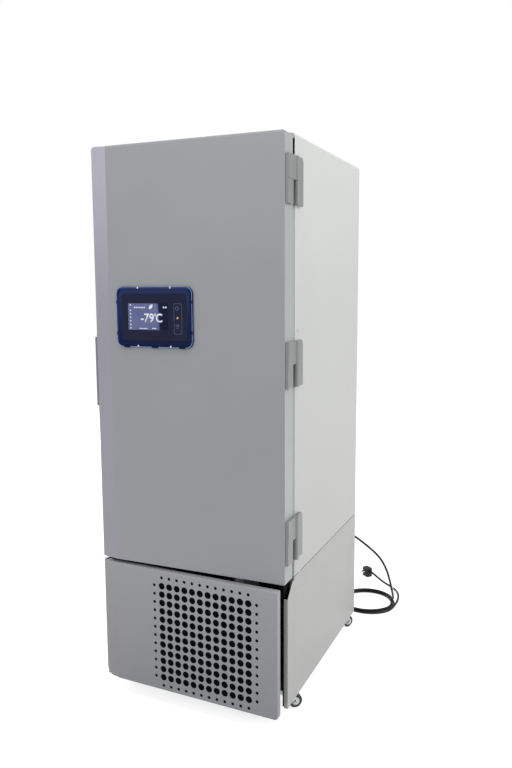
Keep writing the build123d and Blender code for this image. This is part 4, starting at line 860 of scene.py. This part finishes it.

# %% [markdown]
# ## The display
# A touch screen sits behind one sheet of dark glass in a rim held by screws. The screen is dark
# navy, and over most of it a pale slate blue is a painted reflection of the room, which ends
# slantwise at a darker band on its right. On it stand a large temperature and rows of small plain
# marks, and a column of touch keys is printed on the glass beside it.

# %% Screen with a painted reflection
# Liquid crystal under glass: a dark navy field with a painted reflection of the room as a pale
# slate blue, which ends slantwise at the darker band.
SLANT = 0.06
tree, shader, where = start_finish(
    "screen_with_painted_reflection", "#6F7BA0", 0.3, IOR=1.5, Specular_IOR_Level=0.06
)
slanted = add_node(tree, "Math", {"operation": "MULTIPLY_ADD"}, {
    0: axis(tree, where, "Z"), 1: SLANT, 2: axis(tree, where, "X"),
}).outputs["Value"]
split = place(264, 0, 1406).x + SLANT * 1.406
# Painted reflection: left of the slant the screen shows a pale slate blue reflection of the room.
band = between(tree, slanted, split - 0.004, split + 0.004)
field = grain(tree, where, 70, 1)
painted_reflection_field = shade_between(tree, field, "#566090", "#7880A8")
dim_field = shade_between(tree, field, "#11172F", "#1C2444")
tree.links.new(shade_between(tree, band, painted_reflection_field, dim_field), shader.inputs["Base Color"])

# %% Navy border print
# The border of the glass is printed navy, and is paler towards its top.
tree, shader, where = start_finish(
    "navy_border_print", "#101B44", 0.16, IOR=1.52, Specular_IOR_Level=0.15
)
fleck = grain(tree, where, 40, 1)
low_tone = shade_between(tree, fleck, "#06103A", "#0A1643")
high_tone = shade_between(tree, fleck, "#202C57", "#27335F")
border = between(tree, axis(tree, where, "Z"), 1.33, 1.49)
border_tone = shade_between(tree, border, low_tone, high_tone)
settle(tree, shader, border_tone, fleck, (0.1, 0.18), grain(tree, where, 160, 1), 0.05)

# %% Marks, lens and rubbers
# Small even surfaces: lit characters, slate print, amber lens, black painted shade, a pale lip.
for name, dark, light, roughness in (
    ("lit_white_mark", "#E4E9F8", "#FFFFFF", 0.5),
    ("slate_print", "#5A6488", "#6C779C", 0.45),
    ("amber_lens", "#E08A2C", "#FFC070", 0.3),
    ("black_painted_shade", "#050506", "#101012", 0.95),
    ("pale_lip_silicone", "#9EA6A4", "#ACB3B1", 0.6),
):
    mottled(
        name, light, roughness, (3, 2), (dark, light), (roughness - 0.05, roughness + 0.05),
        (1.5, 2, 0.02), IOR=1.45, Specular_IOR_Level=0.25,
    )
lens = finishes["amber_lens"].node_tree.nodes["Principled BSDF"].inputs
lens["Emission Color"].default_value = card("#FFB050")
lens["Emission Strength"].default_value = 0.5


# %% Screen and border
def framed(mesh, outside, inside, front, back):
    """A printed or moulded frame between two outlines that have the same number of points."""
    loops = []
    for outline, depth in ((outside, back), (outside, front), (inside, front), (inside, back)):
        loops.append([mesh.verts.new(place(across, depth, up)) for across, up in outline])
    join_loops(mesh, loops + loops[:1])


GLASS_FRONT = -7.0
PRINT = (GLASS_FRONT - 0.15, GLASS_FRONT + 0.1)
screen = bmesh.new()
press(screen, rounded((145, 301), (1360, 1450), 1.5, 3), PRINT[0], GLASS_FRONT + 0.3)
piece("screen_field", screen, "screen_with_painted_reflection", "door")
border_mesh = bmesh.new()
framed(
    border_mesh, rounded((106.8, 384.2), (1310.3, 1497.7), 15.7, 8),
    rounded((119, 372), (1325, 1484), 8, 8), GLASS_FRONT - 0.1, GLASS_FRONT + 0.1,
)
piece("window_border", border_mesh, "navy_border_print", "door")
print("screen and border laid on the glass")

# %% Printed column of keys
column = bmesh.new()
framed(
    column, rounded((323.8, 353.9), (1347, 1449.8), 5, 5),
    rounded((324.7, 353.0), (1347.9, 1448.9), 4.2, 5), *PRINT,
)
framed(
    column, rounded((329.6, 342.6), (1427.2, 1440.2), 6.5, 6),
    rounded((331.1, 341.1), (1428.7, 1438.7), 5, 6), *PRINT,
)
for across, low in (((330, 344), 1377), ((332, 342), 1371.5), ((334, 340), 1366)):
    slab(column, across, PRINT, (low, low + 2))
piece("touch_key_print", column, "slate_print", "door")
lamp_lens = bmesh.new()
lens_profile = ((2.9, -0.2), (2.9, 0.3), (2.0, 0.7), (0, 0.8))
turn(lamp_lens, lens_profile, place(337.5, GLASS_FRONT, 1401.5), FRONT, 18)
piece("status_lamp", lamp_lens, "amber_lens", "door")
print("keys and lamp laid on the glass")

# %% [markdown]
# ### Temperature and small marks
# The number is set in Blender's own plain letter and pressed to the height and the narrow width of
# the display's figures. The small marks stay plain dashes, dots and one leaf, with no words.

# %% Set the temperature
MARK_FRONT, MARK_BACK = GLASS_FRONT - 0.35, GLASS_FRONT - 0.1


def curve_mesh(name, curve):
    """The mesh that Blender makes of a curve, read through an object that is then removed."""
    shape = stand(name, curve)
    bpy.context.view_layer.update()
    made = bpy.data.meshes.new_from_object(
        shape.evaluated_get(bpy.context.evaluated_depsgraph_get())
    )
    bpy.data.objects.remove(shape)
    return made


def figures(name, words, across, up):
    """A line of figures pressed into a box, as one raised mesh on the screen."""
    line = bpy.data.curves.new(name, "FONT")
    line.body = words
    line.resolution_u = 3
    line.offset = 0.02
    flat_shape = curve_mesh(name + "_line", line)
    mesh = bmesh.new()
    mesh.from_mesh(flat_shape)
    bpy.data.meshes.remove(flat_shape)
    spots = [v.co.copy() for v in mesh.verts]
    low = Vector((min(spot.x for spot in spots), min(spot.y for spot in spots)))
    high = Vector((max(spot.x for spot in spots), max(spot.y for spot in spots)))
    for vert in mesh.verts:
        share_x = (vert.co.x - low.x) / (high.x - low.x)
        share_z = (vert.co.y - low.y) / (high.y - low.y)
        vert.co = place(
            across[0] + share_x * (across[1] - across[0]), MARK_FRONT,
            up[0] + share_z * (up[1] - up[0]),
        )
    bmesh.ops.remove_doubles(mesh, verts=mesh.verts, dist=0.000005)
    raised = bmesh.ops.extrude_face_region(mesh, geom=list(mesh.faces))
    for vert in [part for part in raised["geom"] if isinstance(part, bmesh.types.BMVert)]:
        vert.co.y += (MARK_BACK - MARK_FRONT) / 1000
    piece(name, mesh, "lit_white_mark", "door")


figures("temperature_figures", "-79", (194.5, 246.5), (1385.5, 1416.0))
figures("degree_mark", "°", (247.5, 254.5), (1407.0, 1416.0))
figures("unit_letter", "C", (254.0, 279.0), (1385.5, 1416.0))
print("temperature set")

# %% Small marks on the screen
marks = bmesh.new()
TOP_ROW, FOOT_ROW, STATE_ROW = (1434.2, 1438.2), (1363.3, 1366.3), (1363.8, 1367.2)
dashes = [((168.5 + 6.6 * step, 172.9 + 6.6 * step), TOP_ROW) for step in range(7)]
dashes += [((282, 287), (1434.5, 1439.5)), ((290, 296), (1434.5, 1439.5))]
dashes += [((189 + 5.4 * step, 192.8 + 5.4 * step), FOOT_ROW) for step in range(6)]
dashes += [((239.5, 244), STATE_ROW), ((246, 249), STATE_ROW), ((251, 254.9), STATE_ROW)]
for across, up in dashes:
    slab(marks, across, (MARK_FRONT, MARK_BACK), up)
for up in (1445, 1426.4, 1414.9, 1403.5, 1391, 1378.5, 1366):
    dot = rounded((151.6, 156.4), (up - 2.2, up + 2.2), 0.8, 2)
    press(marks, dot, MARK_FRONT, MARK_BACK)
leaf = [(227.6, 1431.6), (231.5, 1431.2), (237.0, 1433.2), (241.0, 1438.0), (242.4, 1447.4)]
leaf += [(234.6, 1445.2), (229.8, 1441.4), (227.9, 1436.4)]
press(marks, leaf, MARK_FRONT, MARK_BACK)
piece("screen_marks", marks, "lit_white_mark", "door")
print("marks:", len(dashes) + 8)

# %% [markdown]
# ### Screws and notches of the rim
# Four bright pan-head screws hold the rim above and below. Small notches show where its clips can
# be pressed, and black blocks in them are painted shade. They are turned and pressed parts let a
# little into the rim.

# %% Painted highlight along the rim's polished edge
# A pale ring on the rim's front edge is a painted highlight.
mottled(
    "painted_rim_highlight", "#8FA9D2", 0.25, (40, 2), ("#5F7DB4", "#A3B9DC"), (0.2, 0.32),
    (12, 1, 0.02), IOR=1.54, Specular_IOR_Level=0.3,
)
rim_highlight_ring = bmesh.new()
framed(
    rim_highlight_ring, rounded((97.4, 393.6), (1300.9, 1507.1), 25.1, 8),
    rounded((99.2, 391.8), (1302.7, 1505.3), 23.3, 8), -8.15, -7.7,
)
piece("rim_highlight_line", rim_highlight_ring, "painted_rim_highlight", "door")

# %% Rim screws, and black blocks of painted shade in the notches
rim_screws = bmesh.new()
for across, up in ((184, 1503), (311, 1503), (182, 1305), (310, 1305)):
    pan_head(rim_screws, place(across, -8, up), FRONT, 3.2, 1.2)
piece("rim_screws", rim_screws, "nickel_plate", "door")
# Painted shade: black blocks stand for the dark inside of the rim's notches.
notches = bmesh.new()
LEFT_SIDE, RIGHT_SIDE, FOOT_SIDE = (97.6, 101.4), (389.6, 393.4), (1298.8, 1303.4)
for across, up in (
    (LEFT_SIDE, (1449, 1460)), (LEFT_SIDE, (1342, 1353)),
    (RIGHT_SIDE, (1449, 1460)), (RIGHT_SIDE, (1347, 1358)),
    ((126, 150), FOOT_SIDE), ((236, 262), FOOT_SIDE), ((342, 366), FOOT_SIDE),
):
    slab(notches, across, (-8.3, -5.6), up)
piece("rim_notch_shade", notches, "black_painted_shade", "door")
print("rim fitted")

# %% [markdown]
# ## Gasket lip and painted shade at the gaps
# Between the hinges the gap beside the door shows a pale soft lip of the gasket, which ends above
# the top hinge and below the lowest one. Above the top hinge a thin black strip on the collar is
# painted shade that makes the gap dark. Under the door a black strip across the head of the
# machine bay's mouth and another at its right side are painted shade, so both gaps look dark.

# %% Gasket lip and black strips of painted shade
for name, finish, body, roll, runs in (
    ("gasket_lip", "pale_lip_silicone", "door", 0.8, (
        ((DOOR_WIDTH - 4.5, DOOR_WIDTH - 1.2), (588, 1913), 1.2, 3, (70.2, 89)),
    )),
    # Painted shade: black strips that darken the gap under the door and the one above the top
    # hinge.
    ("bay_gap_shade_strip", "black_painted_shade", "cabinet", 1.5, (
        ((15, DOOR_WIDTH - 15), (505.5, 518.5), 4, 4, (44, 87)),
        ((DOOR_WIDTH - 21, DOOR_WIDTH - 15), (74, 504), 2, 3, (32, 86)),
    )),
    ("collar_gap_shade_strip", "black_painted_shade", "cabinet", 0.3, (
        ((DOOR_WIDTH - 8.4, DOOR_WIDTH - 1.2), (1916, 1969.5), 1, 3, (88.9, 90)),
    )),
):
    seal = bmesh.new()
    for across, up, radius, steps, depth in runs:
        press(seal, rounded(across, up, radius, steps), *depth)
    piece(name, seal, finish, body, roll)
print("seals fitted")

# %% [markdown]
# ## Screws on the side covers and the back
# The side covers and the rear panels are held by plated pan-head screws. Those on the right side
# stand where the photograph shows them, and the left side has the same.

# %% Side screws
PANEL_SCREW = (4.6, 1.6)
side_spots = ((128, 451), (331, 500), (682, 499), (706, 92), (300, 92), (117, 1359))
side_screws = bmesh.new()
for depth, up in side_spots:
    pan_head(side_screws, place(DOOR_WIDTH, depth, up), RIGHT, *PANEL_SCREW)
    pan_head(side_screws, place(0, depth, up), LEFT, *PANEL_SCREW)
piece("side_screws", side_screws, "zinc_plate_finish", "cabinet")
print("screws set:", len(side_spots), "on each side")

# %% Rear screws
rear_screws = bmesh.new()
for node, margin, rows in (("rear_service_panel", 12, 3), ("back_panel", 14, 5)):
    low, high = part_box(node)
    for column_x in (low.x + margin / 1000, high.x - margin / 1000):
        for row in range(rows):
            height = low.z + margin / 1000 + (high.z - low.z - 2 * margin / 1000) * row / (rows - 1)
            pan_head(rear_screws, Vector((column_x, high.y, height)), BACK, *PANEL_SCREW)
piece("rear_screws", rear_screws, "zinc_plate_finish", "cabinet")
print("back panels screwed on")

# %% [markdown]
# ## Caster fittings
# Each wheel runs on a bolt through the fork, with a six-sided head and a round bolt end on each
# side, and has a pale nylon hub. Each plate is held up by four bolts. They stand at the angle to
# which that caster has turned.

# %% Axle bolts, hubs and plate bolts
CASTER_TURNS = {"front_right": 37, "front_left": 118, "rear_right": 53, "rear_left": 74}
FORK_HALF, HUB_HALF, TRAIL = 0.0145, 0.010, 0.026
BOLT_REACH, PLATE_UNDERSIDE = 0.023, 0.068
BOLT_HEAD = ((7.5, 0), (7.5, 3.4), (6.4, 4.4), (0, 4.4))
BOLT_END = ((4, 4), (4, 6.2), (2.8, 7), (0, 7))
HUB_FACE = ((15, -0.4), (14.4, 0.5), (8.5, 0.9), (8, 0.9), (0, 0.9))
PLATE_BOLT = ((5.5, -0.3), (5.5, 3.2), (4.8, 3.8), (0, 3.8))
plate_bolts = bmesh.new()
for caster, degrees in CASTER_TURNS.items():
    low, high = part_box(caster + "_wheel")
    hub = (low + high) / 2
    ahead_x, ahead_y = math.cos(math.radians(degrees)), math.sin(math.radians(degrees))
    axle = Vector((-ahead_y, ahead_x, 0))
    fittings, hubs = bmesh.new(), bmesh.new()
    for side in (1, -1):
        turn(fittings, BOLT_HEAD, hub + side * axle * FORK_HALF, side * axle, 6)
        turn(fittings, BOLT_END, hub + side * axle * FORK_HALF, side * axle, 14)
        turn(hubs, HUB_FACE, hub + side * axle * HUB_HALF, side * axle, 22)
    piece(caster + "_axle_bolt", fittings, "zinc_plate_finish", caster + "_fork")
    piece(caster + "_hub_cap", hubs, "white_nylon", caster + "_wheel")
    stem = hub - Vector((ahead_x, ahead_y, 0)) * TRAIL
    for x in (-1, 1):
        for y in (-1, 1):
            spot = Vector((stem.x + x * BOLT_REACH, stem.y + y * BOLT_REACH, PLATE_UNDERSIDE))
            turn(plate_bolts, PLATE_BOLT, spot, DOWN, 6)
piece("caster_plate_bolts", plate_bolts, "zinc_plate_finish", "cabinet")
print("casters fitted:", len(CASTER_TURNS))

# %% [markdown]
# ## Strain relief of the cord
# The cord leaves through a moulded relief: a flange, then a taper cut by grooves so that it bends
# in an even curve.

# %% Ribbed relief
RIB_COUNT, RIB_PITCH, RIB_TAPER, GROOVE_DEEP = 6, 5.4, 0.95, 2.0
relief_mesh = bmesh.new()
relief_spot = place(CORD_MIDDLE + RELIEF_ACROSS, CABINET_BACK, RELIEF_UP)
relief_profile = [(16, 0), (16, 2.6), (15.4, 3.0), (12.2, 3.0)]
for rib in range(RIB_COUNT):
    start, radius = 4.0 + rib * RIB_PITCH, 12.0 - rib * RIB_TAPER
    relief_profile += [(radius, start), (radius - 0.4, start + 3.2)]
    relief_profile += [(radius - GROOVE_DEEP, start + 3.6), (radius - GROOVE_DEEP, start + 5.0)]
relief_profile += [(6.6, 36.6), (5.4, 37.0)]
turn(relief_mesh, relief_profile, relief_spot, BACK, 24)
relief = piece("cord_relief", relief_mesh, "cord_rubber_jacket", "cabinet", 0.3, 40)
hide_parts("cord_gland")
print("relief has", RIB_COUNT, "ribs")

# %% [markdown]
# ### The plug
# A right angled plug is moulded onto the cord: a rubber block with rolled edges, a tapered neck
# where the cord enters, and grip ribs, with two plated blades and a round earth pin at its side. It
# lies on the floor at the tail's end, so its outline is drawn on the tail's own direction.

# %% Ruler on the plug
PLUG_LONG, PLUG_HALF, PLUG_HIGH, PLUG_CORNER, NECK_UP = 46, 17, 45, 9, 29
tail_before, tail_end = (place(CORD_MIDDLE + x, d, 0) for x, d, _ in tail_route[-2:])
plug_run = (tail_end - tail_before).normalized()
plug_side = Vector((-plug_run.y, plug_run.x, 0))


def plug_point(aside, along, up):
    """A point of the plug: towards its blades, along its body from the cord's end, and up."""
    return tail_end + (plug_run * along + plug_side * aside) / 1000 + Vector((0, 0, up / 1000))


def stack(mesh, layers):
    """A closed block through outlines, each in along and aside, at their heights."""
    loops = [
        [mesh.verts.new(plug_point(aside, along, up)) for along, aside in outline]
        for up, outline in layers
    ]
    join_loops(mesh, loops)
    mesh.faces.new(loops[0])
    mesh.faces.new(loops[-1])


print("plug lies", round(tail_route[-1][1] - CABINET_BACK), "mm behind the cabinet")

# %% Body, ribs and neck
plug_mesh = bmesh.new()
foot_roll = ((0, 2.4), (0.7, 0.8), (2.4, 0))
head_roll = tuple((PLUG_HIGH - up, inset) for up, inset in foot_roll[::-1])
stack(plug_mesh, [
    (up, rounded(
        (inset, PLUG_LONG - inset), (inset - PLUG_HALF, PLUG_HALF - inset), PLUG_CORNER - inset
    ))
    for up, inset in foot_roll + head_roll
])
for rib in range(6):
    rib_up = 11 + rib * 4.8
    stack(plug_mesh, [
        (rib_up + up, rounded((14 + inset, 36 - inset), (-17.6 + inset, -12), 1.4, 3))
        for up, inset in ((-1.1, 0.5), (-0.6, 0), (0.6, 0), (1.1, 0.5))
    ])
neck = (
    (9.4, -2), (9.0, 1), (8.2, 4), (6.9, 4.6), (6.9, 6), (7.8, 6.6),
    (7.2, 9.6), (6.2, 10.2), (6.2, 11.6), (6.8, 12.2), (6.1, 16),
)
turn(plug_mesh, neck, plug_point(0, 0, NECK_UP), -plug_run)
plug = piece("plug_body", plug_mesh, "cord_rubber_jacket", "cabinet")
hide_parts("mains_plug")

# %% Blades and earth pin
blade_mesh = bmesh.new()
blade = ((16.8, 25.2), (33.4, 25.2), (35, 26.6), (35, 30.4), (33.4, 31.8), (16.8, 31.8))
for along in (17, 29):
    press(blade_mesh, blade, along - 0.85, along + 0.85, plug_point)
earth_pin = ((2.4, -0.2), (2.4, 16.2), (1.5, 17.8), (0, 18))
turn(blade_mesh, earth_pin, plug_point(PLUG_HALF, PLUG_LONG / 2, 14), plug_side, 16)
blades = piece("plug_blades", blade_mesh, "nickel_plate", "cabinet", 0.2)
print("plug made with two blades and a pin")

# %% [markdown]
# ### The tie
# A soft white band with a small locking head is wound round the tail. It follows the curve's own
# line, which is read from a copy of the spline without its thickness.

# %% Read the cord's own line
line_curve = cord_curve.copy()
line_curve.bevel_depth = 0
line_mesh = curve_mesh("cord_line", line_curve)
cord_line = [v.co.copy() for v in line_mesh.vertices]
bpy.data.meshes.remove(line_mesh)
print("cord's line has", len(cord_line), "points")

# %% Tie at its place on the tail
tie_low, tie_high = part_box("cord_tie")
tie_middle = (tie_low + tie_high) / 2
tie_at = min(range(1, len(cord_line) - 1), key=lambda i: (cord_line[i] - tie_middle).length)
tie_aim = (cord_line[tie_at + 1] - cord_line[tie_at - 1]).normalized()
tie_spot = cord_line[tie_at]
tie_side = tie_aim.cross(Vector((0, 0, 1))).normalized()
band = ((5.0, -9.5), (6.2, -9.2), (6.6, -8), (6.6, 8), (6.2, 9.2), (5.0, 9.5))
lock_head = ((3.0, 5.5), (3.0, 9.0), (2.4, 9.8), (0, 9.8))
band_mesh = bmesh.new()
turn(band_mesh, band, tie_spot, tie_aim, 28)
turn(band_mesh, lock_head, tie_spot, tie_side, 4)
tie = piece("cord_tie_band", band_mesh, "white_nylon", "cabinet", 0.3, 40)
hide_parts("cord_tie")
print("tie is", round(1000 * (tie_spot - tie_middle).length, 1), "mm from its solid's middle")

# %% [markdown]
# ## The studio
# The freezer stands on a plain pale floor in soft even light, with a brighter lamp to the right
# that washes the cabinet's side and leaves the door in half tone. The world gives most of the
# light, so colours come out about as their cards say, and it shows as white behind.

# %% Floor
floor_mesh = bmesh.new()
bmesh.ops.create_grid(floor_mesh, x_segments=2, y_segments=2, size=14)
floor_data = bpy.data.meshes.new("studio_floor")
floor_mesh.to_mesh(floor_data)
floor_mesh.free()
studio_floor = stand("studio_floor", floor_data)
studio_floor.location = (0, 0, -0.0005)
paper = bpy.data.materials.new("studio_paper")
paper.use_nodes = True
tree = paper.node_tree
tree.nodes.clear()
path = add_node(tree, "LightPath").outputs
seen = add_node(tree, "Math", {"operation": "MAXIMUM"}, {
    0: path["Is Camera Ray"], 1: path["Is Glossy Ray"],
}).outputs["Value"]
pale = add_node(tree, "BsdfDiffuse", None, {"Color": card("#C9C9C9")}).outputs["BSDF"]
glow = add_node(tree, "Emission", None, {"Color": card("#FFFFFF"), "Strength": 0.72})
both = add_node(tree, "AddShader", None, {0: pale, 1: glow.outputs["Emission"]}).outputs["Shader"]
shown = add_node(tree, "MixShader", None, {"Fac": seen, 1: pale, 2: both}).outputs["Shader"]
add_node(tree, "OutputMaterial", None, {"Surface": shown})
studio_floor.data.materials.append(paper)
print("floor laid")

# %% [markdown]
# ### World and lamps
# A big soft lamp hangs to the right and a small one over the front, and a fainter one stands on the
# left, so that the sloping strip on the door's left edge comes out lighter than its face. The
# fourth lights the back.

# %% World
world = bpy.data.worlds.new("studio_world")
bpy.context.scene.world = world
world.use_nodes = True
tree = world.node_tree
tree.nodes.clear()
is_seen = add_node(tree, "LightPath").outputs["Is Camera Ray"]
soft, white = (
    add_node(tree, "Background", None, {"Color": card("#FFFFFF"), "Strength": strength})
    for strength in (0.62, 1.0)
)
shown = add_node(tree, "MixShader", None, {
    "Fac": is_seen, 1: soft.outputs["Background"], 2: white.outputs["Background"],
}).outputs["Shader"]
add_node(tree, "OutputWorld", None, {"Surface": shown})
print("world is white where it is seen")


# %% Lamps
def hang_lamp(name, spot, aim, size, power):
    """A square soft lamp at one point that faces another."""
    lamp = bpy.data.lights.new(name, "AREA")
    lamp.shape = "SQUARE"
    lamp.size = size
    lamp.energy = power
    hung = stand(name, lamp)
    hung.location = spot
    hung.rotation_mode = "QUATERNION"
    hung.rotation_quaternion = (Vector(aim) - Vector(spot)).to_track_quat("-Z", "Y")


for lamp in (
    ("side_lamp", (4.2, 0.3, 3.2), (0.3, 0.1, 1.1), 2.6, 96),
    ("top_lamp", (0.4, -1.6, 5.0), (0.1, -0.3, 1.9), 1.6, 45),
    ("rear_lamp", (-3.6, 4.4, 3.0), (-0.2, 0.4, 1.0), 2.6, 110),
    ("front_lamp", (-1.2, -4.2, 3.4), (0, -0.3, 1.0), 2.4, 45),
):
    hang_lamp(*lamp)
bpy.context.scene.view_settings.view_transform = "Standard"
print("lamps hung")
